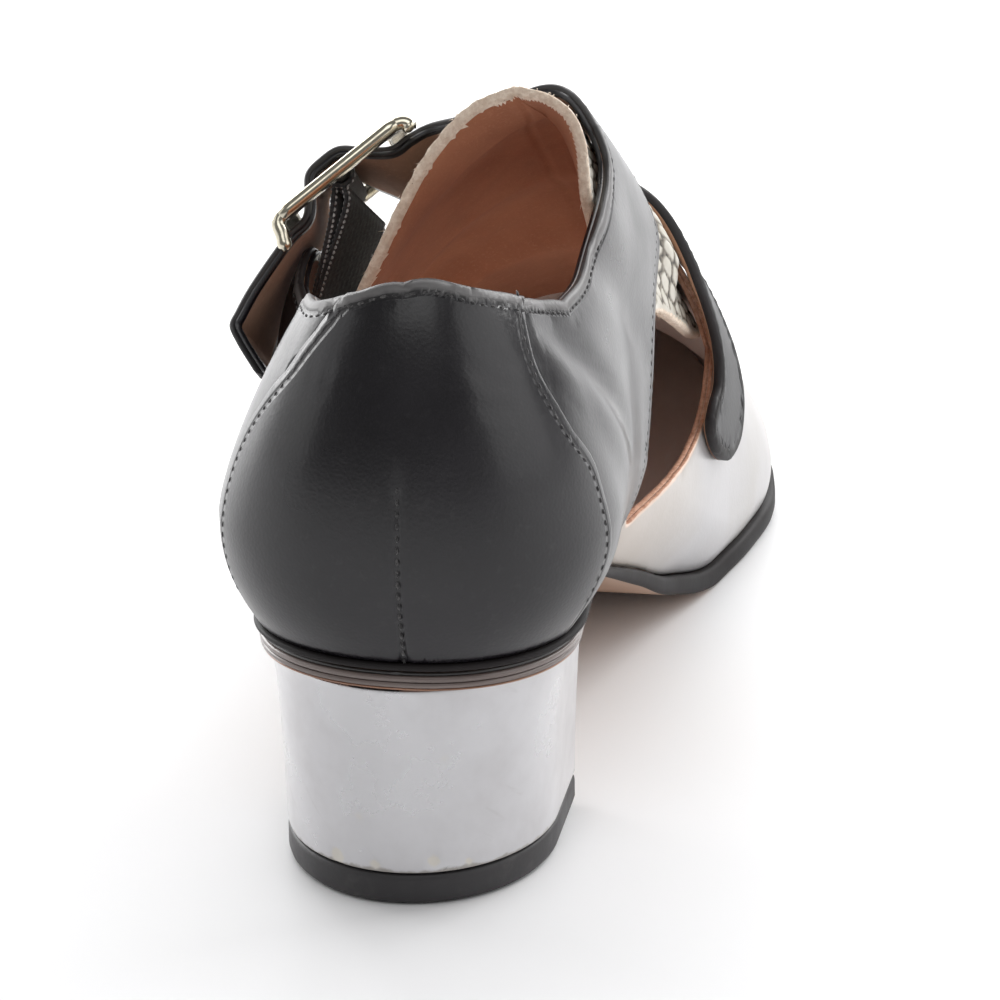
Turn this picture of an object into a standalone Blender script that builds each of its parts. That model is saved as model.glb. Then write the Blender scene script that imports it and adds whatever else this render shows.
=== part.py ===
"""Left shoe: a cut-out pump with a monk strap, a high tongue and a metallic block heel.

The last is one function of two map coordinates, in millimetres before MM turns them into metres:
"along" runs from the heel to the toe, and "across" from the lateral feather line (negative) over the
ridge of the instep to the medial feather line (positive). Every leather piece is an outline on that map,
pushed out or in along the last's own normal. +X is medial, +Y is the toe and +Z is up.
"""

import bmesh
import bpy
import numpy as np
from mathutils.geometry import delaunay_2d_cdt

MM = 0.001

# Driving sizes of the shoe, in millimetres
LENGTH = 250.0
PLAN_CENTRE = (-1.66, 122.86)
WALL = 2.0
GAP = 0.3
SOLE_EDGE = 1.3
FOREFOOT_SOLE = 4.0
SEAT_SOLE = 1.2
WAIST_SOLE = 3.0
TOE_SOLE = 3.6
INSOLE = 2.4
INSOLE_MARGIN = 2.5
RAND = 3.4
RAND_INSET = 0.9
TOP_PIECE = 5.2
TOP_PIECE_ROUND = 0.7
HEEL_BREAST = 50.0
BREAST_TRIM = 1.5
SOLE_THICKNESS = np.array((
    # along, thickness
    (0.0, SEAT_SOLE),
    (HEEL_BREAST, SEAT_SOLE),
    (100.0, WAIST_SOLE),
    (150.0, FOREFOOT_SOLE),
    (190.0, FOREFOOT_SOLE),
    (LENGTH, TOE_SOLE),
))

# The last: one row for each section, half widths and bulges from the shoe's axis
SECTION_COLUMNS = (
    "along", "lateral", "medial", "seat", "ridge", "ridge_x",
    "lateral_bulge", "medial_bulge", "bulge_height", "lateral_round", "medial_round",
)
SECTIONS = np.array((
    (28, 28.0, 24.4, 42.6, 120.0, 0.0, 6.6, 7.2, 18.0, 1.30, 1.36),
    (52, 27.5, 22.8, 40.6, 120.5, 3.0, 6.3, 7.0, 18.5, 1.36, 1.66),
    (76, 26.5, 21.6, 32.0, 117.5, 12.0, 6.0, 6.6, 19.0, 1.50, 2.05),
    (100, 28.0, 23.3, 22.0, 103.0, 13.0, 5.0, 6.6, 18.0, 1.66, 2.35),
    (125, 32.0, 25.5, 11.0, 79.0, 13.0, 3.5, 6.5, 14.0, 1.85, 3.20),
    (150, 35.3, 30.6, 4.3, 62.5, 10.5, 2.0, 4.0, 9.0, 1.90, 2.90),
    (166, 35.5, 34.0, 4.3, 51.5, 8.5, 1.2, 2.2, 7.0, 1.85, 2.20),
    (182, 33.0, 35.8, 4.3, 42.0, 7.0, 0.8, 1.0, 5.5, 1.75, 1.80),
    (196, 29.0, 34.0, 5.2, 35.5, 6.5, 0.6, 0.6, 5.0, 1.65, 1.60),
    (208, 24.5, 30.0, 6.8, 31.5, 6.5, 0.6, 0.6, 4.5, 1.65, 1.60),
))
HEEL_CORE = 28.0
TOE_CORE = 208.0
HEEL_SEAT_SLOPE = -0.065
TOE_SPRING_SLOPE = 0.133
TOE_RIDGE_SLOPE = -0.25
TOE_TAPER = -14.5
TOE_TIP_X = 6.0
HEEL_SQUARENESS = 0.92
HEEL_BACK_BULGE = 5.0
HEEL_BACK_ROUND = 1.9
BULGE_AT = 0.30
MAP_HALF = 70.0
MAP_HEEL = 55.0
MAP_TOE = 45.0

# Outlines on the map as (across, along): topline, strap edges, cut-outs and throat
COLLAR_MEDIAL = ((0, 11.2), (12.5, 14), (21.3, 21.8), (26.4, 36))
STRAP_REAR_MEDIAL = ((26.4, 36), (27.4, 50), (24.8, 67.3), (20.4, 79.3), (14, 82.5))
QUARTER_FRONT_MEDIAL = ((14, 105.5), (21, 108.5), (27, 106), (34.4, 95), (43.4, 86.5), (49.5, 80), (60, 68.5))
VAMP_EDGE_MEDIAL = (
    (60, 68.5), (61.7, 75.8), (58.7, 83.7), (54.9, 91.9), (50.4, 100.8), (48.4, 109.5), (47.3, 117.3), (45.5, 124.3),
    (42.6, 130.1), (39, 134.7), (33.1, 141.1),
)
THROAT = ((33.1, 141.1), (18, 133), (0, 129), (-18, 133), (-33.1, 141.1))
VAMP_EDGE_LATERAL = (
    (-33.1, 141.1), (-39, 134.7), (-42.6, 130.1), (-45.5, 124.3), (-47.3, 117.3), (-48.4, 109.5), (-50.4, 100.8),
    (-54.9, 91.9), (-58.7, 83.7), (-61.7, 75.8), (-60, 68.5),
)
QUARTER_FRONT_LATERAL = ((-60, 68.5), (-50, 79), (-43, 86), (-37.5, 91), (-32, 92))
WING_END = ((-32, 92), (-29.8, 80), (-32, 71))
COLLAR_LATERAL = ((-32, 71), (-32.4, 64), (-31.2, 57), (-28.2, 42), (-24.2, 28), (-18, 16.1), (-9, 11.5), (0, 11.2))

# Counter: a step in the wall, with its front edges on both sides
COUNTER_MEDIAL = (
    (21.3, 21.8), (22.5, 18.2), (24.4, 16.6), (27.2, 16.4), (32, 17.8), (37.2, 20.7), (42.1, 20.8), (52.4, 19.5),
    (61, 14.5), (70, 10),
)
COUNTER_LATERAL = (
    (-9, 11.7), (-12.2, 11.2), (-16.7, 10.9), (-22.3, 11.5), (-32.5, 15.5), (-38, 15.8), (-46, 13.5), (-58, 10),
    (-70, 5),
)
COUNTER_STEP = 0.6
COUNTER_SKIVE = 1.2
SEAM_END = 0.96

# The lateral wing stands off the last where the webbing passes inside it
WING_FLARE = 8.6
WING_CENTRE = (-31.0, 78.5)
WING_REACH = (22.0, 22.5)

# Strap past the medial quarter: rows on the last, then rows in the buckle's own axes
STRAP_ON_LAST = (
    # across, rear along, front along, lift
    (14.0, 82.5, 105.5, 0.0),
    (9.5, 81.2, 104.2, 0.4),
    (5.0, 80.0, 102.8, 0.7),
    (0.0, 79.2, 101.6, 0.6),
    (-5.0, 78.5, 100.6, 0.5),
    (-10.5, 78.0, 99.6, 0.6),
)
STRAP_AT_BUCKLE = (
    # run along the buckle, height above its frame, lean in degrees, half width
    (-17.5, -5.2, 13.0, 11.0),
    (-12.8, -4.9, 17.5, 11.0),
    (-9.6, -4.9, 19.0, 11.0),
    (-6.2, -0.6, 9.0, 11.0),
    (-2.7, 4.1, 0.0, 11.0),
    (1.0, 4.6, 0.0, 11.0),
    (4.6, 4.0, 0.0, 11.0),
    (7.2, 1.0, 0.0, 11.0),
    (9.7, -1.6, 0.0, 11.0),
    (13.2, -2.0, 0.0, 11.0),
    (18.0, -3.8, 3.0, 11.0),
    (24.0, -6.4, 7.0, 11.0),
    (28.0, -8.6, 10.0, 11.0),
    (30.7, -10.4, 12.0, 11.0),
    (31.6, -12.5, 13.0, 8.4),
    (32.1, -14.6, 13.0, 4.6),
    (32.4, -16.2, 13.0, 1.4),
)
STRAP_CELLS = 5
SPAN_STEPS = 3

# Tongue and saddle band outlines on the map
TONGUE_DEPTH = 2.9
TONGUE_THICKNESS = 2.8
TONGUE = (
    (0, 66), (10, 67), (18, 69), (25, 71.5), (33, 75), (37, 82), (37.5, 92), (35.5, 106), (33.5, 124), (30, 144),
    (24, 154), (0, 156), (-24, 154), (-30, 144), (-34, 124), (-37, 106), (-38.5, 92), (-38, 80), (-33, 73),
    (-25, 70), (-12, 67),
)
TONGUE_FLARE_FROM = 78.0
TONGUE_FLARE_RUN = 12.0
TONGUE_FLARE = np.array((
    # across, rise of the rear edge
    (-33.0, 0.0),
    (-28.0, 0.8),
    (-22.0, 3.0),
    (-16.0, 5.0),
    (-10.0, 5.5),
    (-4.0, 4.7),
    (2.0, 4.6),
    (7.0, 5.9),
    (12.0, 7.0),
    (16.0, 6.2),
    (20.0, 3.8),
    (24.0, 1.0),
    (28.0, 0.0),
))
BAND_THICKNESS = 1.7
BAND_REAR_LIFT = 0.9
BAND_LIFT_FROM = 138.0
BAND_LIFT_RUN = 22.0
BAND_LIFT_HALF = 34.0
BAND_LIFT_SIDE = 10.0
BAND = (
    (0, 117.5), (12, 119), (20, 122), (25, 126), (29, 131), (34, 134.5), (39.5, 132.5), (43.5, 126), (45.4, 123.8),
    (46.7, 128), (46.7, 135), (45.4, 141.5), (42.8, 147), (37.5, 151), (30, 150), (18, 142), (0, 138), (-18, 142),
    (-30, 150), (-37.5, 151), (-42.8, 147), (-45.4, 141.5), (-46.7, 135), (-46.7, 128), (-45.4, 123.8), (-43.5, 126),
    (-39.5, 132.5), (-34, 134.5), (-29, 131), (-25, 126), (-20, 122), (-12, 119),
)

# Heel block: half width and front-to-back radius of the round at each height share
HEEL_BLOCK_COLUMNS = ("share", "half_width", "back", "breast")
HEEL_BLOCK = np.array((
    (0.0, 22.6, 2.6, 48.6),
    (0.35, 22.9, 2.0, 48.4),
    (0.7, 23.4, 1.2, 48.4),
    (1.0, 24.2, 0.6, 48.8),
))
HEEL_ROUND_DEPTH = 27.0
HEEL_RINGS = 7
HEEL_CENTRE_X = -2.2

# Buckle: outer sizes along and across the strap, and the places of its two end bars
BUCKLE_TOP = (-14.5, 90.6, 102.5)
BUCKLE_BOTTOM = (-33.1, 81.4, 88.1)
BUCKLE_ACROSS = (-0.054, 0.873, -0.485)
BUCKLE_LONG = 27.6
BUCKLE_WIDE = 32.0
BUCKLE_BAR = 4.2
BUCKLE_SIDE_BAR = 3.6
BUCKLE_CENTRE_BAR = 2.6
BUCKLE_THICKNESS = 2.2
BUCKLE_CHAMFER = 0.5
BUCKLE_CORNER = 3.0
BUCKLE_WINDOW_CORNER = 1.0

# Webbing from inside the wing up to the buckle's centre bar: across or run, height of its near and its far edge
WEBBING_ON_LAST = ((-37.0, 1.5, -2.7), (-32.0, 3.5, -2.1))
WEBBING_AT_BUCKLE = ((3.0, -5.0, -9.4), (0.4, -1.6, -7.2))
WEBBING_EDGES = (77.5, 96.5)
WEBBING_THICKNESS = 1.5
WEBBING_CELLS = 4

# Mesh spacing on the map
GRID_ACROSS = 5.6
GRID_ALONG = 6.4
EDGE_STEP = 4.5
RING_STEP = 5.5
CURVE_STEPS = 24


def clear_scene():
    for item in list(bpy.data.objects):
        bpy.data.objects.remove(item, do_unlink=True)


# Curves


def smooth(xs, ys, x):
    """A monotone cubic through (xs, ys): it keeps level stretches level and never overshoots a row."""
    xs = np.asarray(xs, float)
    ys = np.asarray(ys, float)
    step = np.diff(xs)
    rise = np.diff(ys) / step
    slope = np.zeros_like(ys)
    slope[0], slope[-1] = rise[0], rise[-1]
    same_way = rise[:-1] * rise[1:] > 0
    first, second = 2 * step[1:] + step[:-1], step[1:] + 2 * step[:-1]
    safe_before = np.where(same_way, rise[:-1], 1.0)
    safe_after = np.where(same_way, rise[1:], 1.0)
    slope[1:-1] = np.where(same_way, (first + second) / (first / safe_before + second / safe_after), 0.0)
    x = np.clip(np.asarray(x, float), xs[0], xs[-1])
    i = np.clip(np.searchsorted(xs, x, side="right") - 1, 0, len(xs) - 2)
    t = (x - xs[i]) / step[i]
    start = (1 + 2 * t) * (1 - t) ** 2 * ys[i] + t * (1 - t) ** 2 * step[i] * slope[i]
    return start + t * t * (3 - 2 * t) * ys[i + 1] + t * t * (t - 1) * step[i] * slope[i + 1]


def rounded(padded, steps):
    """A rounded curve through all but the first and last of the points, the same number in each span."""
    points = padded[1:-1]
    tangent = (padded[2:] - padded[:-2]) / 2
    t = np.linspace(0, 1, steps, endpoint=False)[:, None]
    spans = []
    for a, b, ta, tb in zip(points[:-1], points[1:], tangent[:-1], tangent[1:]):
        start = (1 + 2 * t) * (1 - t) ** 2 * a + t * (1 - t) ** 2 * ta
        spans.append(start + t * t * (3 - 2 * t) * b + t * t * (t - 1) * tb)
    return np.vstack(spans + [points[-1:]])


def curve(points, step, closed=False):
    """Points at even steps along a rounded curve through the given ones; the last one only if open."""
    points = np.asarray(points, float)
    ring = np.vstack([points, points[:1]]) if closed else points
    lead = points[-1:] if closed else 2 * ring[:1] - ring[1:2]
    tail = points[1:2] if closed else 2 * ring[-1:] - ring[-2:-1]
    fine = rounded(np.vstack([lead, ring, tail]), CURVE_STEPS)
    run = np.concatenate([[0], np.cumsum(np.linalg.norm(np.diff(fine, axis=0), axis=1))])
    count = max(2, int(round(run[-1] / step)) + 1)
    at = np.linspace(0, run[-1], count)
    even = np.stack([np.interp(at, run, fine[:, k]) for k in range(fine.shape[1])], axis=1)
    return even[:-1] if closed else even


def chain(*curves):
    """Curves that follow each other, each given without its last point."""
    return np.vstack([points[:-1] for points in curves])


# The last


def section(name, along):
    return smooth(SECTIONS[:, 0], SECTIONS[:, SECTION_COLUMNS.index(name)], along)


def seat_height(y):
    """Height of the feather line above the floor: heel seat, arch, tread and toe spring."""
    y = np.asarray(y, float)
    heel = section("seat", HEEL_CORE) + HEEL_SEAT_SLOPE * (y - HEEL_CORE)
    toe = section("seat", TOE_CORE) + TOE_SPRING_SLOPE * (y - TOE_CORE)
    return np.where(y < HEEL_CORE, heel, np.where(y > TOE_CORE, toe, section("seat", y)))


def map_turn(across, along):
    """Share of the way out from the ridge, and the side and end parts of the direction there."""
    in_heel, in_toe = along < HEEL_CORE, along > TOE_CORE
    in_front = np.where(in_toe, (along - TOE_CORE) / MAP_TOE, 0.0)
    end = np.where(in_heel, (HEEL_CORE - along) / MAP_HEEL, in_front)
    side = np.abs(across) / MAP_HALF
    out = np.hypot(side, end)
    safe = np.maximum(out, 1e-9)
    return out, np.where(out > 1e-9, side / safe, 1.0), end / safe


def feather_point(across, along):
    """Plan point of the feather line that a map point climbs from."""
    in_heel, in_toe = along < HEEL_CORE, along > TOE_CORE
    core = np.clip(along, HEEL_CORE, TOE_CORE)
    _, side, end = map_turn(across, along)
    lateral, medial = section("lateral", core), section("medial", core)
    sign = np.where(across < 0, -1.0, 1.0)
    straight = np.where(across < 0, -lateral, medial)
    centre = (medial - lateral) / 2
    half_width = (medial + lateral) / 2 + TOE_TAPER * end
    toe_x = centre + (TOE_TIP_X - centre) * end ** 2 + sign * side * half_width
    x = np.where(in_heel, straight * side ** HEEL_SQUARENESS, np.where(in_toe, toe_x, straight))
    heel_y = core - HEEL_CORE * end ** HEEL_SQUARENESS
    y = np.where(in_heel, heel_y, core + (LENGTH - TOE_CORE) * end)
    return x, y


def last_point(across, along):
    """Point of the last's surface: out from the feather to the bulge, then over to the ridge."""
    across, along = np.broadcast_arrays(np.asarray(across, float), np.asarray(along, float))
    in_heel, in_toe = along < HEEL_CORE, along > TOE_CORE
    core = np.clip(along, HEEL_CORE, TOE_CORE)
    out, side, end = map_turn(across, along)
    climb = 1 - out
    x, y = feather_point(across, along)
    ridge_x = section("ridge_x", core)
    seat = seat_height(y)
    bulge = np.where(across < 0, section("lateral_bulge", core), section("medial_bulge", core))
    bulge = np.where(in_heel, bulge * side ** 2 + HEEL_BACK_BULGE * end ** 2, bulge)
    rounding = np.where(across < 0, section("lateral_round", core), section("medial_round", core))
    rounding = np.where(in_heel, rounding * side ** 2 + HEEL_BACK_ROUND * end ** 2, rounding)
    low = section("bulge_height", core)
    swell = 1 + bulge / np.hypot(x - ridge_x, y - core)
    rise = climb / BULGE_AT
    turn = np.clip((climb - BULGE_AT) / (1 - BULGE_AT), 0, 1) * np.pi / 2
    below = climb < BULGE_AT
    reach = np.where(below, swell - (swell - 1) * (1 - rise) ** 2, swell * np.cos(turn) ** (2 / rounding))
    top = section("ridge", core) + np.where(in_toe, TOE_RIDGE_SLOPE * reach * (y - core), 0.0) - seat
    height = np.where(below, low * rise, low + (top - low) * np.sin(turn) ** (2 / rounding))
    return np.stack([ridge_x + reach * (x - ridge_x), core + reach * (y - core), seat + height], axis=-1)


def last_normal(across, along, step=0.1):
    over = last_point(across + step, along) - last_point(across - step, along)
    forward = last_point(across, along + step) - last_point(across, along - step)
    normal = np.cross(over, forward)
    return normal / np.linalg.norm(normal, axis=-1, keepdims=True)


def offset_point(across, along, lift):
    """Point at a lift above the last; on the feather line the lift is level, so the rim stays on the seat."""
    across, along = np.asarray(across, float), np.asarray(along, float)
    normal = last_normal(across, along)
    out, _, _ = map_turn(across, along)
    normal[..., 2] = np.where(out > 1 - 1e-6, 0.0, normal[..., 2])
    normal /= np.linalg.norm(normal, axis=-1, keepdims=True)
    return last_point(across, along) + normal * np.asarray(lift, float)[..., None]


def feather_ring(step):
    """The feather line as map points, once round from the back of the heel along the medial side."""
    quarter = np.linspace(0, np.pi / 2, 13)[:-1]
    count = int(round((TOE_CORE - HEEL_CORE) / step))
    straight = np.linspace(HEEL_CORE, TOE_CORE, count + 1)[:-1]
    heel = np.stack([MAP_HALF * np.sin(quarter), HEEL_CORE - MAP_HEEL * np.cos(quarter)], axis=1)
    side = np.stack([np.full(count, MAP_HALF), straight], axis=1)
    toe = np.stack([MAP_HALF * np.cos(quarter), TOE_CORE + MAP_TOE * np.sin(quarter)], axis=1)
    medial = np.vstack([heel, side, toe])
    tip = np.array([[0.0, TOE_CORE + MAP_TOE]])
    return np.vstack([medial, tip, (medial * (-1, 1))[:0:-1]])


def plan_outline(margin, step):
    """The feather line in plan, grown by a margin."""
    ring = feather_ring(step)
    x, y = feather_point(ring[:, 0], ring[:, 1])
    points = np.stack([x, y], axis=1)
    tangent = np.roll(points, -1, axis=0) - np.roll(points, 1, axis=0)
    outward = np.stack([tangent[:, 1], -tangent[:, 0]], axis=1)
    return points + margin * outward / np.linalg.norm(outward, axis=1, keepdims=True)


# Meshes


def inside(points, loop):
    """Whether each point lies inside a closed loop, by counting crossings."""
    x, y = points[:, 0][:, None], points[:, 1][:, None]
    a, b = loop, np.roll(loop, -1, axis=0)
    crosses = (a[:, 1] > y) != (b[:, 1] > y)
    rise = np.where(b[:, 1] == a[:, 1], 1e-12, b[:, 1] - a[:, 1])
    at = a[:, 0] + (y - a[:, 1]) / rise * (b[:, 0] - a[:, 0])
    return (crosses & (x < at)).sum(axis=1) % 2 == 1


def filled(outline, holes=(), guides=(), grid=(GRID_ACROSS, GRID_ALONG)):
    """Triangles that fill an outline less its holes, over grid points, with guide lines kept as edges."""
    loops = [outline, *holes]
    lines = [*loops, *guides]
    points, edges = [], []
    for k, line in enumerate(lines):
        start = len(points)
        points.extend(line)
        count = len(line)
        edges.extend((start + i, start + i + 1) for i in range(count - 1))
        if k < len(loops):
            edges.append((start + count - 1, start))
    placed = np.array(points)
    low, high = outline.min(axis=0), outline.max(axis=0)
    rows = []
    for k, along in enumerate(np.arange(low[1] + grid[1] / 2, high[1], grid[1])):
        across = np.arange(low[0] + grid[0] * (0.25 + 0.5 * (k % 2)), high[0], grid[0])
        rows.append(np.stack([across, np.full(len(across), along)], axis=1))
    inner = np.vstack(rows)
    inner = inner[inside(inner, outline)]
    for hole in holes:
        inner = inner[~inside(inner, hole)]
    scaled = (inner[:, None, :] - placed[None, :, :]) / grid
    inner = inner[(scaled ** 2).sum(axis=2).min(axis=1) > 0.3]
    everything = np.vstack([placed, inner])
    found = delaunay_2d_cdt([tuple(p) for p in everything], edges, [], 0, 1e-7)
    flat = np.array([tuple(v) for v in found[0]])
    faces = np.array([f for f in found[2]])
    centre = flat[faces].mean(axis=1)
    keep = inside(centre, outline)
    for hole in holes:
        keep &= ~inside(centre, hole)
    faces = faces[keep]
    first, second = flat[faces[:, 1]] - flat[faces[:, 0]], flat[faces[:, 2]] - flat[faces[:, 0]]
    turned = first[:, 0] * second[:, 1] - first[:, 1] * second[:, 0] < 0
    faces[turned] = faces[turned][:, ::-1]
    used, faces = np.unique(faces, return_inverse=True)
    return flat[used], faces.reshape(-1, 3)


def thick(flat, faces, outer, inner, open_at=None):
    """A closed shell from two surfaces over one flat pattern, with no rim where open_at holds."""
    count = len(flat)
    points = np.vstack([outer, inner])
    solid = [tuple(f) for f in faces] + [tuple(count + f[::-1]) for f in faces]
    ends = np.concatenate([faces[:, [0, 1]], faces[:, [1, 2]], faces[:, [2, 0]]])
    directed = {tuple(e) for e in ends}
    for a, b in directed:
        if (b, a) in directed:
            continue
        if open_at is not None and open_at[a] and open_at[b]:
            continue
        solid.append((b, a, count + a, count + b))
    return points, solid


def add_object(name, points, faces, material):
    """One closed object in metres, about the middle of its plan box, with its faces pointing out."""
    placed = (np.asarray(points) - (*PLAN_CENTRE, 0.0)) * MM
    mesh = bpy.data.meshes.new(name)
    mesh.from_pydata([tuple(p) for p in placed], [], [tuple(int(i) for i in f) for f in faces])
    work = bmesh.new()
    work.from_mesh(mesh)
    bmesh.ops.remove_doubles(work, verts=work.verts, dist=1e-6)
    bmesh.ops.recalc_face_normals(work, faces=work.faces)
    work.to_mesh(mesh)
    work.free()
    mesh.shade_smooth()
    mesh.set_sharp_from_angle(angle=np.radians(40))
    mesh.materials.append(material)
    item = bpy.data.objects.new(name, mesh)
    bpy.context.collection.objects.link(item)
    return item


def material(name, colour, roughness, metallic=0.0):
    made = bpy.data.materials.new(name)
    made.use_nodes = True
    shader = made.node_tree.nodes["Principled BSDF"]
    shader.inputs["Base Color"].default_value = (*colour, 1.0)
    shader.inputs["Roughness"].default_value = roughness
    shader.inputs["Metallic"].default_value = metallic
    return made


# Upper with its strap


def counter_lift(across, along):
    """Step of the counter: full behind its front edges, skived away just in front of them."""
    points = np.stack([across, along], axis=1)
    edge = np.vstack([curve(COUNTER_LATERAL, 1.5)[::-1], curve(COUNTER_MEDIAL, 1.5)])
    back = np.array([(MAP_HALF * 1.2, -MAP_HEEL), (-MAP_HALF * 1.2, -MAP_HEEL)])
    behind = inside(points, np.vstack([edge, back]))
    away = np.sqrt(((points[:, None, :] - edge[None, :, :]) ** 2).sum(axis=2).min(axis=1))
    return np.where(behind, COUNTER_STEP, COUNTER_STEP * np.clip(1 - away / COUNTER_SKIVE, 0, 1))


def wing_lift(across, along):
    """Flare of the lateral quarter: a smooth swell that is full at the wing's end."""
    share = np.hypot((across - WING_CENTRE[0]) / WING_REACH[0], (along - WING_CENTRE[1]) / WING_REACH[1])
    return np.where(across < 0, WING_FLARE * np.cos(np.clip(share, 0, 1) * np.pi / 2) ** 2, 0.0)


def wall_lift(across, along):
    return counter_lift(across, along) + wing_lift(across, along)


def buckle_axes():
    """The buckle's middle, and its directions along the strap, across it and out of the frame."""
    top, bottom = np.array(BUCKLE_TOP), np.array(BUCKLE_BOTTOM)
    along = (bottom - top) / np.linalg.norm(bottom - top)
    across = np.array(BUCKLE_ACROSS) - along * np.dot(BUCKLE_ACROSS, along)
    across /= np.linalg.norm(across)
    return (top + bottom) / 2, along, across, np.cross(across, along)


def buckle_point(run, side, height):
    middle, along, across, out = buckle_axes()
    return middle + run * along + side * across + height * out


def rail(points):
    """One edge of a strip, through its rows."""
    points = np.asarray(points, float)
    lead, tail = 2 * points[:1] - points[1:2], 2 * points[-1:] - points[-2:-1]
    return rounded(np.vstack([lead, points, tail]), SPAN_STEPS)


def ribbon_grids(rear, front, thickness, cells):
    """Outer and inner rows of points of a flat strip between two rails."""
    rear, front = rail(rear), rail(front)
    share = np.linspace(0, 1, cells + 1)[None, :, None]
    outer = rear[:, None, :] + (front - rear)[:, None, :] * share
    way = np.gradient((rear + front) / 2, axis=0)
    normal = np.cross(front - rear, way)
    normal /= np.linalg.norm(normal, axis=1, keepdims=True)
    return outer, outer - thickness * normal[:, None, :]


def ribbon_faces(stations, width, capped_start):
    """Faces of a closed strip of points in rows, outer rows first, with or without a cap at its start."""
    count = stations * width
    faces = []
    for i in range(stations - 1):
        for j in range(width - 1):
            a, b = i * width + j, i * width + j + 1
            faces.append((a, b, b + width, a + width))
            faces.append((count + a + width, count + b + width, count + b, count + a))
        for j in (0, width - 1):
            a = i * width + j
            faces.append((a, a + width, count + a + width, count + a))
    for row in ((0, stations - 1) if capped_start else (stations - 1,)):
        for j in range(width - 1):
            a = row * width + j
            faces.append((a, a + 1, count + a + 1, count + a))
    return faces


def root_line():
    """Map points across the strap where it leaves the medial quarter."""
    across, rear, front, _ = STRAP_ON_LAST[0]
    return np.stack([np.full(STRAP_CELLS + 1, across), np.linspace(rear, front, STRAP_CELLS + 1)], axis=1)


def make_strap():
    """The strap as a closed strip, open at its root, where it shares the medial quarter's own points."""
    rear = [offset_point(across, along, lift) for across, along, _, lift in STRAP_ON_LAST]
    front = [offset_point(across, along, lift) for across, _, along, lift in STRAP_ON_LAST]
    for run, height, lean, half in STRAP_AT_BUCKLE:
        side, drop = half * np.cos(np.radians(lean)), half * np.sin(np.radians(lean))
        rear.append(buckle_point(run, -side, height + drop))
        front.append(buckle_point(run, side, height - drop))
    outer, inner = ribbon_grids(rear, front, WALL, STRAP_CELLS)
    root = root_line()
    fade = np.clip(1 - np.arange(len(outer)) / SPAN_STEPS, 0, 1)[:, None, None]
    level = np.zeros(len(root))
    outer += fade * (offset_point(root[:, 0], root[:, 1], level) - outer[0])
    inner += fade * (offset_point(root[:, 0], root[:, 1], level - WALL) - inner[0])
    points = np.vstack([outer.reshape(-1, 3), inner.reshape(-1, 3)])
    return points, ribbon_faces(*outer.shape[:2], capped_start=False)


def make_upper(leather):
    root = root_line()
    hole = chain(
        curve(COLLAR_MEDIAL, EDGE_STEP),
        curve(STRAP_REAR_MEDIAL, EDGE_STEP),
        root,
        curve(QUARTER_FRONT_MEDIAL, EDGE_STEP),
        curve(VAMP_EDGE_MEDIAL, EDGE_STEP),
        curve(THROAT, EDGE_STEP),
        curve(VAMP_EDGE_LATERAL, EDGE_STEP),
        curve(QUARTER_FRONT_LATERAL, EDGE_STEP),
        curve(WING_END, EDGE_STEP),
        curve(COLLAR_LATERAL, EDGE_STEP),
    )
    seams = []
    for edge in (COUNTER_MEDIAL, COUNTER_LATERAL):
        line = curve(edge, EDGE_STEP)[1:]
        for seam in (line, line + (0, COUNTER_SKIVE * 1.4)):
            out, _, _ = map_turn(seam[:, 0], seam[:, 1])
            seams.append(seam[out < SEAM_END])
    flat, faces = filled(feather_ring(RING_STEP), holes=[hole], guides=seams)
    lift = wall_lift(flat[:, 0], flat[:, 1])
    outer = offset_point(flat[:, 0], flat[:, 1], lift)
    inner = offset_point(flat[:, 0], flat[:, 1], wing_lift(flat[:, 0], flat[:, 1]) - WALL)
    on_root = np.abs(flat[:, 0] - root[0, 0]) < 1e-4
    on_root &= (flat[:, 1] > root[0, 1] - 1e-3) & (flat[:, 1] < root[-1, 1] + 1e-3)
    points, shell = thick(flat, faces, outer, inner, open_at=on_root)
    strap_points, strap_faces = make_strap()
    shell += [tuple(i + len(points) for i in f) for f in strap_faces]
    return add_object("upper", np.vstack([points, strap_points]), shell, leather)


def tongue_flare(across, along):
    """Rise of the tongue's rear end, which stands up behind the strap."""
    ramp = np.clip((TONGUE_FLARE_FROM - along) / TONGUE_FLARE_RUN, 0, 1) ** 1.4
    return smooth(TONGUE_FLARE[:, 0], TONGUE_FLARE[:, 1], across) * ramp


def make_tongue(leather):
    flat, faces = filled(curve(TONGUE, 3.5, closed=True), grid=(5.5, 4.5))
    top = tongue_flare(flat[:, 0], flat[:, 1]) - TONGUE_DEPTH
    outer = offset_point(flat[:, 0], flat[:, 1], top)
    inner = offset_point(flat[:, 0], flat[:, 1], top - TONGUE_THICKNESS)
    points, shell = thick(flat, faces, outer, inner)
    return add_object("tongue", points, shell, leather)


def make_band(leather):
    """Saddle band over the throat: its rear edge stands off the tongue, its tabs lie on the vamp."""
    flat, faces = filled(curve(BAND, 3.5, closed=True), grid=(5.0, 5.0))
    rear = np.clip((BAND_LIFT_FROM - flat[:, 1]) / BAND_LIFT_RUN, 0, 1)
    middle = np.clip((BAND_LIFT_HALF - np.abs(flat[:, 0])) / BAND_LIFT_SIDE, 0, 1)
    low = GAP + BAND_REAR_LIFT * rear * middle
    outer = offset_point(flat[:, 0], flat[:, 1], low + BAND_THICKNESS)
    inner = offset_point(flat[:, 0], flat[:, 1], low)
    points, shell = thick(flat, faces, outer, inner)
    return add_object("vamp_band", points, shell, leather)


# Bottom


def plate(outline, top, bottom, grid):
    """A plate over a plan outline whose two faces follow heights that depend on y alone."""
    flat, faces = filled(outline, grid=grid)
    upper = np.column_stack([flat, top(flat[:, 1])])
    lower = np.column_stack([flat, bottom(flat[:, 1])])
    return thick(flat, faces, upper, lower)


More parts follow.
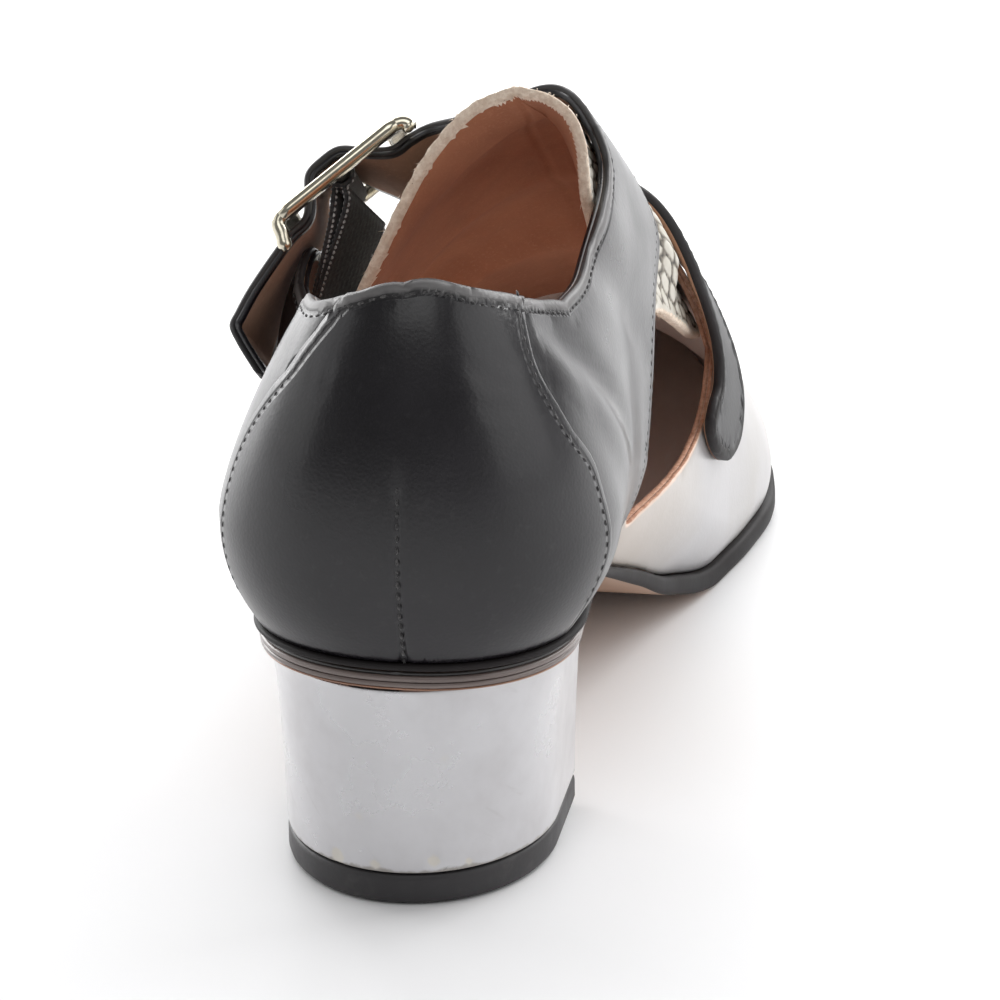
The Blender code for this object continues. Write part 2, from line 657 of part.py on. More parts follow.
def sole_top(y):
    return seat_height(y) - GAP


def sole_bottom(y):
    """Full leather under the forefoot, thinned through the waist to a skived seat under the heel."""
    return sole_top(y) - smooth(SOLE_THICKNESS[:, 0], SOLE_THICKNESS[:, 1], y)


def heel_outline(margin):
    """The seat's outline from the breast back: the round of the heel and a straight breast line."""
    ring = plan_outline(margin, 4.0)
    kept = ring[ring[:, 1] < HEEL_BREAST - BREAST_TRIM]
    lateral = kept[kept[:, 0] < 0]
    medial = kept[kept[:, 0] >= 0]
    lateral = lateral[np.argsort(lateral[:, 1])]
    medial = medial[np.argsort(medial[:, 1])]
    left, right = lateral[-1, 0], medial[-1, 0]
    breast = np.column_stack([np.linspace(right, left, 8), np.full(8, HEEL_BREAST)])
    return np.vstack([medial, breast, lateral[::-1]])


def make_insole(material_used):
    outline = plan_outline(-INSOLE_MARGIN, 6.0)
    shape = plate(outline, lambda y: seat_height(y) + INSOLE, seat_height, grid=(11.0, 9.0))
    return add_object("insole", *shape, material_used)


def make_outsole(material_used):
    shape = plate(plan_outline(SOLE_EDGE, 5.0), sole_top, sole_bottom, grid=(11.0, 8.0))
    return add_object("outsole", *shape, material_used)


def rand_bottom(y):
    return sole_bottom(y) - GAP - RAND


def make_rand(material_used):
    outline = heel_outline(SOLE_EDGE - RAND_INSET)
    shape = plate(outline, lambda y: sole_bottom(y) - GAP, rand_bottom, grid=(14.0, 12.0))
    return add_object("heel_rand", *shape, material_used)


def block_ring(half_width, back, breast, count=20):
    """D outline of the heel: an ellipse round the back, straight sides and a breast with small corners."""
    turn = np.linspace(0, np.pi, count)
    depth = HEEL_ROUND_DEPTH
    round_back = np.stack([half_width * np.cos(turn), back + depth - depth * np.sin(turn)], axis=1)
    side = np.linspace(back + depth, breast, 5)[1:]
    left = np.stack([np.full(4, -half_width), side], axis=1)
    front = np.stack([np.linspace(-half_width, half_width, 7)[1:-1], np.full(5, breast)], axis=1)
    right = np.stack([np.full(4, half_width), side[::-1]], axis=1)
    ring = np.vstack([round_back, left, front, right])
    return ring + (HEEL_CENTRE_X, 0.0)


def block_value(name, share):
    return smooth(HEEL_BLOCK[:, 0], HEEL_BLOCK[:, HEEL_BLOCK_COLUMNS.index(name)], share)


def loft(rings):
    """Closed solid through rings of equal count, with a flat fan at each end."""
    count = len(rings[0])
    points = np.vstack(rings)
    faces = []
    for k in range(len(rings) - 1):
        for i in range(count):
            j = (i + 1) % count
            faces.append((k * count + i, k * count + j, (k + 1) * count + j, (k + 1) * count + i))
    faces.append(tuple(range(count)))
    top = (len(rings) - 1) * count
    faces.append(tuple(top + i for i in reversed(range(count))))
    return points, faces


def make_heel(material_used):
    rings = []
    for share in np.linspace(0, 1, HEEL_RINGS):
        ring = block_ring(*(block_value(name, share) for name in HEEL_BLOCK_COLUMNS[1:]))
        low = np.full(len(ring), TOP_PIECE + GAP)
        high = rand_bottom(ring[:, 1]) - GAP
        rings.append(np.column_stack([ring, low + (high - low) * share]))
    return add_object("heel", *loft(rings), material_used)


def make_top_piece(material_used):
    rings = []
    for height, inset in ((0.0, TOP_PIECE_ROUND), (TOP_PIECE_ROUND, TOP_PIECE_ROUND / 5), (TOP_PIECE, 0.0)):
        ring = block_ring(HEEL_BLOCK[0, 1] - inset, HEEL_BLOCK[0, 2] + inset, HEEL_BLOCK[0, 3] - inset)
        rings.append(np.column_stack([ring, np.full(len(ring), height)]))
    return add_object("top_piece", *loft(rings), material_used)


# Buckle and webbing


def rounded_rectangle(long, wide, corner, centre=0.0, steps=4):
    """Loop of a rectangle with round corners, along first and across second."""
    loop = []
    for k, (a, b) in enumerate(((1, 1), (-1, 1), (-1, -1), (1, -1))):
        for turn in np.linspace(0, np.pi / 2, steps) + k * np.pi / 2:
            along = a * (long / 2 - corner) + corner * np.cos(turn)
            across = b * (wide / 2 - corner) + corner * np.sin(turn)
            loop.append((centre + along, across))
    return np.array(loop)


def make_buckle(metal):
    """Flat frame with a centre bar: chamfered rings round its outline and its two windows."""
    window_long = (BUCKLE_LONG - 2 * BUCKLE_BAR - BUCKLE_CENTRE_BAR) / 2
    window_wide = BUCKLE_WIDE - 2 * BUCKLE_SIDE_BAR
    window_at = (window_long + BUCKLE_CENTRE_BAR) / 2

    def loops(inset):
        outer = rounded_rectangle(BUCKLE_LONG - 2 * inset, BUCKLE_WIDE - 2 * inset, BUCKLE_CORNER - inset)
        long, wide, corner = window_long + 2 * inset, window_wide + 2 * inset, BUCKLE_WINDOW_CORNER + inset
        windows = [rounded_rectangle(long, wide, corner, centre) for centre in (-window_at, window_at)]
        return [outer, *windows]

    flat, faces = filled(loops(BUCKLE_CHAMFER)[0], holes=loops(BUCKLE_CHAMFER)[1:], grid=(60.0, 60.0))
    full = np.vstack(loops(0.0))
    inset = np.vstack(loops(BUCKLE_CHAMFER))
    nearest = np.array([int(np.argmin(((inset - p) ** 2).sum(axis=1))) for p in flat])
    half = BUCKLE_THICKNESS / 2
    count = len(flat)
    side = full[nearest]
    shoulder = half - BUCKLE_CHAMFER
    levels = [(flat, half), (side, shoulder), (side, -shoulder), (flat, -half)]
    points = np.vstack([buckle_point(p[:, :1], p[:, 1:], height) for p, height in levels])
    solid = [tuple(f) for f in faces] + [tuple(3 * count + f[::-1]) for f in faces]
    ends = np.concatenate([faces[:, [0, 1]], faces[:, [1, 2]], faces[:, [2, 0]]])
    directed = {tuple(e) for e in ends}
    for a, b in directed:
        if (b, a) in directed:
            continue
        for k in range(3):
            solid.append((k * count + b, k * count + a, (k + 1) * count + a, (k + 1) * count + b))
    return add_object("buckle_frame", points, solid, metal)


def make_elastic(material_used):
    """Webbing from inside the wing up to the buckle's centre bar."""
    near, far = WEBBING_EDGES
    rear = [offset_point(across, near, lift) for across, lift, _ in WEBBING_ON_LAST]
    front = [offset_point(across, far, lift) for across, _, lift in WEBBING_ON_LAST]
    half = (far - near) / 2
    for run, near_height, far_height in WEBBING_AT_BUCKLE:
        rear.append(buckle_point(run, -half, near_height))
        front.append(buckle_point(run, half, far_height))
    inner, outer = ribbon_grids(rear, front, WEBBING_THICKNESS, WEBBING_CELLS)
    points = np.vstack([outer.reshape(-1, 3), inner.reshape(-1, 3)])
    return add_object("elastic", points, ribbon_faces(*outer.shape[:2], capped_start=True), material_used)


def main():
    clear_scene()
    black_leather = material("black_leather", (0.012, 0.011, 0.013), 0.28)
    make_upper(black_leather)
    make_tongue(material("snakeskin", (0.55, 0.50, 0.42), 0.45))
    make_band(material("band_leather", (0.012, 0.011, 0.013), 0.32))
    make_insole(material("insole_leather", (0.35, 0.20, 0.13), 0.6))
    make_outsole(material("sole_leather", (0.30, 0.19, 0.12), 0.5))
    make_rand(material("stacked_leather", (0.10, 0.06, 0.045), 0.5))
    make_heel(material("silver_heel", (0.62, 0.62, 0.64), 0.3, 0.8))
    make_top_piece(material("heel_rubber", (0.02, 0.018, 0.02), 0.6))
    make_buckle(material("nickel", (0.75, 0.72, 0.66), 0.15, 1.0))
    make_elastic(material("webbing", (0.02, 0.02, 0.021), 0.8))


main()
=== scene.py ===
"""The dressed left shoe: leather panels, linings, stitching, buckle, webbing, sole and heel in the solids' frame.

Sizes are in millimetres before add_mesh turns them into metres. The last is one function of two map coordinates:
"along" runs from the heel to the toe, and "across" from the lateral feather line (negative) over the ridge of the
instep to the medial feather line (positive). +X is medial, +Y is the toe and +Z is up.
"""

import bmesh
import bpy
import numpy as np
from mathutils import Matrix, Vector
from mathutils.geometry import delaunay_2d_cdt
from mathutils.kdtree import KDTree


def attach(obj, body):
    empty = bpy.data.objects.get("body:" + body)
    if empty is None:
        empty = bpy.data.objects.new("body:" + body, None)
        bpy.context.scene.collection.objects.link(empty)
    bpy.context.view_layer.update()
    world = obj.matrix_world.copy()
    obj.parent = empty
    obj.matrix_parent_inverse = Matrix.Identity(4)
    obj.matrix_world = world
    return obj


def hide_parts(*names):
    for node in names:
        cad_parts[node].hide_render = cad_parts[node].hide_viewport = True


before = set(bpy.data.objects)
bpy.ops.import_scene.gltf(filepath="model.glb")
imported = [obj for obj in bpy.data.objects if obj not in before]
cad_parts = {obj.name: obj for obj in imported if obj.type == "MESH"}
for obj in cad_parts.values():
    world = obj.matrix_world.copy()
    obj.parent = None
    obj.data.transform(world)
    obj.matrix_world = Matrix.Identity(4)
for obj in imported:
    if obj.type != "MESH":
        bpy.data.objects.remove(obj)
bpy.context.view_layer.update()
RANDOM = np.random.default_rng(7)

MM = 0.001

# Driving sizes of the shoe, as in the solids
LENGTH = 250.0
PLAN_CENTRE = (-1.66, 122.86)
WALL = 2.0
LEATHER = 1.1
GAP = 0.3
SOLE_EDGE = 1.3
FOREFOOT_SOLE = 4.0
SEAT_SOLE = 1.2
WAIST_SOLE = 3.0
TOE_SOLE = 3.6
INSOLE = 2.4
INSOLE_MARGIN = 2.5
RAND = 3.4
RAND_INSET = 0.9
TOP_PIECE = 5.2
HEEL_BREAST = 50.0
BREAST_TRIM = 1.5
# Edge profiles as (inset, share of the thickness from the top)
SOLE_PROFILE = ((0.9, 0.0), (0.25, 0.08), (0.0, 0.3), (0.0, 0.65), (0.3, 0.92), (0.9, 1.0))
SOCK_PROFILE = ((1.0, 0.0), (0.3, 0.12), (0.0, 0.45), (0.0, 1.0))
TOP_PIECE_PROFILE = ((0.45, 0.0), (0.1, 0.05), (0.0, 0.2), (0.0, 0.72), (0.25, 0.88), (0.7, 0.97), (1.2, 1.0))
SOLE_THICKNESS = np.array((
    # along, thickness
    (0.0, SEAT_SOLE),
    (HEEL_BREAST, SEAT_SOLE),
    (100.0, WAIST_SOLE),
    (150.0, FOREFOOT_SOLE),
    (190.0, FOREFOOT_SOLE),
    (LENGTH, TOE_SOLE),
))

# The last
SECTION_COLUMNS = (
    "along", "lateral", "medial", "seat", "ridge", "ridge_x",
    "lateral_bulge", "medial_bulge", "bulge_height", "lateral_round", "medial_round",
)
SECTIONS = np.array((
    (28, 28.0, 24.4, 42.6, 120.0, 0.0, 6.6, 7.2, 18.0, 1.30, 1.36),
    (52, 27.5, 22.8, 40.6, 120.5, 3.0, 6.3, 7.0, 18.5, 1.36, 1.66),
    (76, 26.5, 21.6, 32.0, 117.5, 12.0, 6.0, 6.6, 19.0, 1.50, 2.05),
    (100, 28.0, 23.3, 22.0, 103.0, 13.0, 5.0, 6.6, 18.0, 1.66, 2.35),
    (125, 32.0, 25.5, 11.0, 79.0, 13.0, 3.5, 6.5, 14.0, 1.85, 3.20),
    (150, 35.3, 30.6, 4.3, 62.5, 10.5, 2.0, 4.0, 9.0, 1.90, 2.90),
    (166, 35.5, 34.0, 4.3, 51.5, 8.5, 1.2, 2.2, 7.0, 1.85, 2.20),
    (182, 33.0, 35.8, 4.3, 42.0, 7.0, 0.8, 1.0, 5.5, 1.75, 1.80),
    (196, 29.0, 34.0, 5.2, 35.5, 6.5, 0.6, 0.6, 5.0, 1.65, 1.60),
    (208, 24.5, 30.0, 6.8, 31.5, 6.5, 0.6, 0.6, 4.5, 1.65, 1.60),
))
HEEL_CORE = 28.0
TOE_CORE = 208.0
HEEL_SEAT_SLOPE = -0.065
TOE_SPRING_SLOPE = 0.133
TOE_RIDGE_SLOPE = -0.25
TOE_TAPER = -14.5
TOE_TIP_X = 6.0
HEEL_SQUARENESS = 0.92
HEEL_BACK_BULGE = 5.0
HEEL_BACK_ROUND = 1.9
BULGE_AT = 0.30
MAP_HALF = 70.0
MAP_HEEL = 55.0
MAP_TOE = 45.0


def mirrored(line):
    return tuple((-across, along) for across, along in line)


# Outlines on the map as (across, along)
COLLAR_MEDIAL = ((0, 11.2), (12.5, 14), (21.3, 21.8), (26.4, 36))
STRAP_REAR_MEDIAL = ((26.4, 36), (27.4, 50), (24.8, 67.3), (20.4, 79.3), (14, 82.5))
QUARTER_FRONT_MEDIAL = ((14, 105.5), (21, 108.5), (27, 106), (34.4, 95), (43.4, 86.5), (49.5, 80), (60, 68.5))
VAMP_EDGE_MEDIAL = (
    (60, 68.5), (61.7, 75.8), (58.7, 83.7), (54.9, 91.9), (50.4, 100.8), (49.7, 102.2), (49.05, 103.6),
    (48.8, 105.4), (48.4, 109.5), (47.3, 117.3), (45.5, 124.3), (42.6, 130.1), (39, 134.7), (33.1, 141.1),
)
THROAT = ((33.1, 141.1), (18, 133), (0, 129), (-18, 133), (-33.1, 141.1))
VAMP_EDGE_LATERAL = mirrored(VAMP_EDGE_MEDIAL)[::-1]
QUARTER_FRONT_LATERAL = ((-60, 68.5), (-50, 79), (-43, 86), (-37.5, 91), (-32, 92))
WING_END = ((-32, 92), (-29.8, 80), (-32, 71))
COLLAR_LATERAL = ((-32, 71), (-32.4, 64), (-31.2, 57), (-28.2, 42), (-24.2, 28), (-18, 16.1), (-9, 11.5), (0, 11.2))
COUNTER_MEDIAL = (
    (21.3, 21.8), (22.5, 18.2), (24.4, 16.6), (27.2, 16.4), (32, 17.8), (37.2, 20.7), (42.1, 20.8), (52.4, 19.5),
    (61, 14.5), (70, 10),
)
COUNTER_LATERAL = (
    (-9, 11.7), (-12.2, 11.2), (-16.7, 10.9), (-22.3, 11.5), (-32.5, 15.5), (-38, 15.8), (-46, 13.5), (-58, 10),
    (-70, 5),
)
VAMP_SEAM_MEDIAL = ((60, 68.5), (65, 65), (72, 61))
VAMP_SEAM_LATERAL = mirrored(VAMP_SEAM_MEDIAL)
BACK_SEAM = ((0.4, -4), (0.4, -12), (0.6, -20), (0.6, -27))
COUNTER_STEP = 0.6
WING_FLARE = 8.6
WING_CENTRE = (-31.0, 78.5)
WING_REACH = (22.0, 22.5)
STITCH_IN = 2.2
STITCH_STEP = 0.5
# pitch, length and radius of a stitch
UPPER_STITCH, BAND_STITCH, WEBBING_STITCH = (2.0, 1.55, 0.26), (1.9, 1.5, 0.24), (1.1, 0.8, 0.26)
FOLD = 1.6
LINING_GAP = 0.02
VAMP_SINK, VAMP_EDGE_RADIUS = 0.25, 0.4
# Painted reflection of the pale floor on the vamp: its strength, and where it fades in across and towards the rear
FLOOR_REFLECTION, FLOOR_REFLECTION_ACROSS, FLOOR_REFLECTION_ALONG = 0.8, (26.0, 44.0), (82.0, 128.0)
EDGE_RADIUS, EDGE_DEPTH = 0.7, 0.4
BEAD_AT = 1.1
BEAD_RISE, BEAD_WIDE = 0.28, 0.9
PRESS_DEPTH, PRESS_WIDE = 0.16, 0.55
SEAM_DEPTH, SEAM_WIDE = 0.5, 0.75

# Creases: depth and width in millimetres, then the line on the map
CREASES = (
    (-1.1, 3.2, ((24.6, 20.6), (28.2, 28.5), (32.7, 35.7), (37.9, 43.9), (43.1, 51.8), (46.8, 56.3))),
    (0.6, 4.2, ((27.5, 19.5), (32.5, 26.5), (37.5, 34), (42.5, 42), (46.5, 49))),
    (-0.8, 5.5, ((28, 52), (30, 59.3), (35.9, 72.1), (40.1, 85.6))),
    (0.45, 5.0, ((25.5, 58), (28, 70), (30.5, 83), (29.5, 96))),
    (-0.16, 1.1, ((11.7, 6.6), (16, 8.1), (20, 10.3))),
    (-0.15, 1.0, ((13.6, 6.3), (17.5, 7.9), (21.1, 10.2))),
    (-0.14, 1.1, ((15.5, 9.1), (19, 10.9), (22.4, 13.4))),
    (-0.14, 1.0, ((15, 4.6), (18.5, 6.2), (22, 8.6))),
    (-0.2, 1.2, ((24.2, 16.9), (25.9, 18.3), (27.5, 20.2))),
    (-0.18, 1.1, ((25.2, 16), (27, 17.6), (28.7, 19.8))),
    (-0.16, 1.1, ((27.7, 17.2), (29.2, 18.2), (30.5, 19.4))),
    (-0.14, 1.0, ((28.6, 18.6), (31, 20.8), (33.4, 23.4))),
    (-0.2, 1.1, ((-8, 4), (-12, 5.5), (-17, 8))),
)

# Spacing of the upper's mesh: boundary step, grid, and rows beside each edge; the creased part has a finer grid
LEATHER_MESH = (1.3, (1.25, 1.45), (0.35, 0.8, 1.5, 2.2, 2.9))
LINING_MESH = (2.2, (2.4, 2.8), (FOLD,))
FINE_FROM, FINE_TO, FINE_GRID = (8.0, 2.0), (34.0, 26.0), (0.5, 0.6)
FEATHER_ROWS = (0.5, 1.1)
POINT_REACH = 0.42
CURVE_STEPS = 24

# Strap, tongue, band, buckle, webbing
STRAP_ON_LAST = (
    # across, rear along, front along, lift
    (14.0, 82.5, 105.5, 0.0),
    (9.5, 81.2, 104.2, 0.4),
    (5.0, 80.0, 102.8, 0.7),
    (0.0, 79.2, 101.6, 0.6),
    (-5.0, 78.5, 100.6, 0.5),
    (-10.5, 78.0, 99.6, 0.6),
)
STRAP_AT_BUCKLE = (
    # run along the buckle, height above its frame, lean in degrees, half width
    (-17.5, -5.2, 13.0, 11.0),
    (-12.8, -4.9, 17.5, 11.0),
    (-9.6, -4.9, 19.0, 11.0),
    (-6.2, -0.6, 9.0, 11.0),
    (-2.7, 4.1, 0.0, 11.0),
    (1.0, 4.6, 0.0, 11.0),
    (4.6, 4.0, 0.0, 11.0),
    (7.2, 1.0, 0.0, 11.0),
    (9.7, -1.6, 0.0, 11.0),
    (13.2, -2.0, 0.0, 11.0),
    (18.0, -3.8, 3.0, 11.0),
    (24.0, -6.4, 7.0, 11.0),
    (28.0, -8.6, 10.0, 11.0),
    (30.7, -10.4, 12.0, 11.0),
    (31.6, -12.5, 13.0, 8.4),
    (32.1, -14.6, 13.0, 4.6),
    (32.4, -16.2, 13.0, 1.4),
)
STRAP_CELLS, STRAP_EDGE_CELLS = 16, (0.018, 0.045, 0.955, 0.982)
STRAP_STEPS = 8
STRAP_STITCHED, STRAP_STITCH_LIFT = 18, 0.3
TONGUE_DEPTH = 2.9
TONGUE_SHOWN = 2.4
TONGUE = (
    (0, 66), (10, 67), (18, 69), (25, 71.5), (33, 75), (37, 82), (37.5, 92), (35.5, 106), (33.5, 124), (30, 144),
    (24, 154), (0, 156), (-24, 154), (-30, 144), (-34, 124), (-37, 106), (-38.5, 92), (-38, 80), (-33, 73),
    (-25, 70), (-12, 67),
)
TONGUE_FLARE_FROM = 78.0
TONGUE_FLARE_RUN = 12.0
TONGUE_FLARE = np.array((
    # across, rise of the rear edge
    (-33.0, 0.0),
    (-28.0, 0.8),
    (-22.0, 3.0),
    (-16.0, 5.0),
    (-10.0, 5.5),
    (-4.0, 4.7),
    (2.0, 4.6),
    (7.0, 5.9),
    (12.0, 7.0),
    (16.0, 6.2),
    (20.0, 3.8),
    (24.0, 1.0),
    (28.0, 0.0),
))
TONGUE_CREASE = ((-1.5, 66.5), (-5.5, 76), (-6.8, 85.3), (-5, 104.5), (-3, 115.5), (-2, 123))
SCALE_WIDE, SCALE_LONG, SCALE_RELIEF = 2.5, 5.4, 0.32
TONGUE_GRID, TONGUE_ROWS = (0.62, 0.8), (0.5, 1.1)
TONGUE_UNDER_BAND = ((107.0, 117.0, 121.0, 128.0), (0.0, 3.2, 3.2, 0.0))
TONGUE_UNDER_BAND_ACROSS = ((24.0, 31.0), (1.0, 0.0))
TONGUE_GROOVE, TONGUE_GROOVE_WIDE = 0.45, 0.55
RAW_LEVELS, RAW_ROUGH, RAW_OUTSIDE, RAW_INSIDE = (0.3, 0.65), 0.16, 0.8, 0.7
FIBRES_TO, FIBRE_THICK, FIBRE_LONG = 118, 0.09, (0.5, 1.1)
BAND_THICKNESS = 1.7
BAND_REAR_LIFT = 0.9
BAND_ROWS, BAND_GRID = (-0.8, -0.35, 0.35, 0.8), (1.1, 1.2)
BAND_BEAD_RISE, BAND_BEAD_WIDE, BAND_PRESS_DEPTH, BAND_PRESS_WIDE = 0.25, 0.8, 0.22, 0.5
BAND_LINING, BAND_LINING_REAR = 0.1, 0.75
BAND_LIFT_FROM, BAND_LIFT_RUN, BAND_LIFT_HALF, BAND_LIFT_SIDE = 138.0, 22.0, 34.0, 10.0
BAND_MEDIAL = (
    (12, 119), (20, 122), (25, 126), (29, 131), (34, 134.5), (39.5, 132.5), (43.5, 126), (45.4, 123.8), (46.7, 128),
    (46.7, 135), (45.4, 141.5), (42.8, 147), (37.5, 151), (30, 150), (18, 142),
)
BAND = ((0, 117.5), *BAND_MEDIAL, (0, 138), *mirrored(BAND_MEDIAL)[::-1])
BUCKLE_TOP = (-14.5, 90.6, 102.5)
BUCKLE_BOTTOM = (-33.1, 81.4, 88.1)
BUCKLE_ACROSS = (-0.054, 0.873, -0.485)
BUCKLE_LONG, BUCKLE_WIDE = 27.6, 32.0
BUCKLE_BAR, BUCKLE_SIDE_BAR, BUCKLE_CENTRE_BAR = 4.2, 3.6, 2.6
BUCKLE_THICKNESS, BUCKLE_ROUND = 2.2, 0.95
BUCKLE_CORNER, BUCKLE_WINDOW_CORNER = 3.0, 1.0
CURL_RADIUS, CURL_TURNS, CURL_DROP_TOP, CURL_DROP_BOTTOM = 1.25, 14, 2.6, 5.2
WEBBING_ON_LAST = ((-37.0, 1.5, -2.7), (-32.0, 3.5, -2.1))
WEBBING_AT_BUCKLE = ((3.0, -5.0, -9.4), (0.4, -1.6, -7.2))
WEBBING_OUTER = ((5.2, -5.0, -10.6), (1.5, -1.4, -6.2))
WEBBING_TWIST = 1.6
WEBBING_EDGES = (77.5, 96.5)
WEBBING_THICKNESS = 1.5
WEBBING_STEPS, WEBBING_CELLS = 28, 40
WEBBING_DOTS_AT = (0.03, 0.97)
RIB, RIB_ALONG, RIBS_ALONG = 0.12, 0.06, 26
SLEEVE_OUT, SLEEVE_IN = (2.3, 2.0), (1.5, 1.3)
SLEEVE_STEPS, SLEEVE_GAP, SLEEVE_RIB = 25, 0.03, 0.1

# Heel block
HEEL_BLOCK_COLUMNS = ("share", "half_width", "back", "breast")
HEEL_BLOCK = np.array((
    (0.0, 22.6, 2.6, 48.6),
    (0.35, 22.9, 2.0, 48.4),
    (0.7, 23.4, 1.2, 48.4),
    (1.0, 24.2, 0.6, 48.8),
))
HEEL_EDGE = ((0.0, 0.006, 0.018, 0.982, 0.994, 1.0), (0.5, 0.12, 0.0, 0.0, 0.12, 0.5))
HEEL_ROUND_DEPTH = 27.0
HEEL_CENTRE_X = -2.2
HEEL_CORNER = 1.2
HEEL_BACK_STEPS = 110
NICKS = (
    # height share, place round the back in radians, depth, size
    (0.05, 2.05, 0.5, 1.1),
    (0.045, 1.72, 0.35, 0.8),
    (0.06, 1.3, 0.4, 0.9),
    (0.035, 1.05, 0.3, 0.7),
    (0.3, 1.85, 0.12, 1.2),
    (0.62, 1.2, 0.1, 1.4),
)

# Camera, fitted to the photograph in the solids' frame before its plan centre is taken off
VIEW_AZIMUTH, VIEW_ELEVATION = 7.5, 21.0
VIEW_FOCAL = 5520.0
VIEW_POINT, VIEW_PIXEL, VIEW_DEPTH = (3.3, 2.9, 0.0), (257.0, 850.0), 1146.0
FRAME_PIXEL, FRAME_ZOOM = (312.0, 530.0), 1.27
FRAME_SIDE = 1000.0
SENSOR = 36.0

# Studio
FLOOR_REACH, FLOOR_DROP = 6.0, 0.0003
SKY = 0.2
LIGHTS_AIM = (0.0, -0.03, 0.05)
LIGHTS = (
    # name, place, size, watts
    ("back_panel", (0.0, 1.4, 0.9), (2.0, 1.8), 34.0),
    ("left_box", (-0.95, 0.75, 0.38), (1.0, 0.7), 13.0),
    ("right_box", (0.85, 0.72, 0.74), (0.75, 0.6), 9.5),
    ("left_side", (-1.3, -0.15, 0.55), (1.4, 1.1), 4.5),
    ("right_side", (1.3, -0.25, 0.6), (1.4, 1.1), 6.5),
    ("top_fill", (0.1, -1.2, 1.6), (1.2, 1.2), 6.5),
)


# Curves and the last


def smooth(xs, ys, x):
    """A monotone cubic through (xs, ys): it keeps level stretches level and never overshoots a row."""
    xs = np.asarray(xs, float)
    ys = np.asarray(ys, float)
    step = np.diff(xs)
    rise = np.diff(ys) / step
    slope = np.zeros_like(ys)
    slope[0], slope[-1] = rise[0], rise[-1]
    same_way = rise[:-1] * rise[1:] > 0
    first, second = 2 * step[1:] + step[:-1], step[1:] + 2 * step[:-1]
    safe_before = np.where(same_way, rise[:-1], 1.0)
    safe_after = np.where(same_way, rise[1:], 1.0)
    slope[1:-1] = np.where(same_way, (first + second) / (first / safe_before + second / safe_after), 0.0)
    x = np.clip(np.asarray(x, float), xs[0], xs[-1])
    i = np.clip(np.searchsorted(xs, x, side="right") - 1, 0, len(xs) - 2)
    t = (x - xs[i]) / step[i]
    start = (1 + 2 * t) * (1 - t) ** 2 * ys[i] + t * (1 - t) ** 2 * step[i] * slope[i]
    return start + t * t * (3 - 2 * t) * ys[i + 1] + t * t * (t - 1) * step[i] * slope[i + 1]


def unit(vectors):
    return vectors / np.linalg.norm(vectors, axis=-1, keepdims=True)


def run_along(line):
    """Distance from a polyline's first point to each of its points."""
    return np.concatenate([[0], np.cumsum(np.linalg.norm(np.diff(line, axis=0), axis=1))])


def at_run(at, run, rows):
    """Rows that belong to a polyline's points, read at distances along it."""
    return np.stack([np.interp(at, run, column) for column in rows.T], axis=1)


def closed_ring(points):
    return np.vstack([points, points[:1]])


def rounded(padded, steps):
    """A rounded curve through all but the first and last of the points, the same number in each span."""
    points = padded[1:-1]
    tangent = (padded[2:] - padded[:-2]) / 2
    t = np.linspace(0, 1, steps, endpoint=False)[:, None]
    spans = []
    for a, b, ta, tb in zip(points[:-1], points[1:], tangent[:-1], tangent[1:]):
        start = (1 + 2 * t) * (1 - t) ** 2 * a + t * (1 - t) ** 2 * ta
        spans.append(start + t * t * (3 - 2 * t) * b + t * t * (t - 1) * tb)
    return np.vstack(spans + [points[-1:]])


def even(fine, step):
    """Points at even steps along a polyline."""
    run = run_along(fine)
    count = max(2, int(round(run[-1] / step)) + 1)
    return at_run(np.linspace(0, run[-1], count), run, fine)


def curve(points, step, closed=False):
    """Points at even steps along a rounded curve through the given ones; the last one only if open."""
    if not closed:
        return even(rail(points, CURVE_STEPS), step)
    points = np.asarray(points, float)
    ring = np.vstack([points[-1:], points, points[:2]])
    return even(rounded(ring, CURVE_STEPS), step)[:-1]


def rail(points, steps):
    """A rounded curve through the given points, its ends carried straight on."""
    points = np.asarray(points, float)
    lead, tail = 2 * points[:1] - points[1:2], 2 * points[-1:] - points[-2:-1]
    return rounded(np.vstack([lead, points, tail]), steps)


def chain(*curves):
    return np.vstack([points[:-1] for points in curves])


def section(name, along):
    return smooth(SECTIONS[:, 0], SECTIONS[:, SECTION_COLUMNS.index(name)], along)


def seat_height(y):
    y = np.asarray(y, float)
    heel = section("seat", HEEL_CORE) + HEEL_SEAT_SLOPE * (y - HEEL_CORE)
    toe = section("seat", TOE_CORE) + TOE_SPRING_SLOPE * (y - TOE_CORE)
    return np.where(y < HEEL_CORE, heel, np.where(y > TOE_CORE, toe, section("seat", y)))


def map_turn(across, along):
    in_heel, in_toe = along < HEEL_CORE, along > TOE_CORE
    in_front = np.where(in_toe, (along - TOE_CORE) / MAP_TOE, 0.0)
    end = np.where(in_heel, (HEEL_CORE - along) / MAP_HEEL, in_front)
    side = np.abs(across) / MAP_HALF
    out = np.hypot(side, end)
    safe = np.maximum(out, 1e-9)
    return out, np.where(out > 1e-9, side / safe, 1.0), end / safe


def feather_point(across, along):
    in_heel, in_toe = along < HEEL_CORE, along > TOE_CORE
    core = np.clip(along, HEEL_CORE, TOE_CORE)
    _, side, end = map_turn(across, along)
    lateral, medial = section("lateral", core), section("medial", core)
    sign = np.where(across < 0, -1.0, 1.0)
    straight = np.where(across < 0, -lateral, medial)
    centre = (medial - lateral) / 2
    half_width = (medial + lateral) / 2 + TOE_TAPER * end
    toe_x = centre + (TOE_TIP_X - centre) * end ** 2 + sign * side * half_width
    x = np.where(in_heel, straight * side ** HEEL_SQUARENESS, np.where(in_toe, toe_x, straight))
    heel_y = core - HEEL_CORE * end ** HEEL_SQUARENESS
    y = np.where(in_heel, heel_y, core + (LENGTH - TOE_CORE) * end)
    return x, y


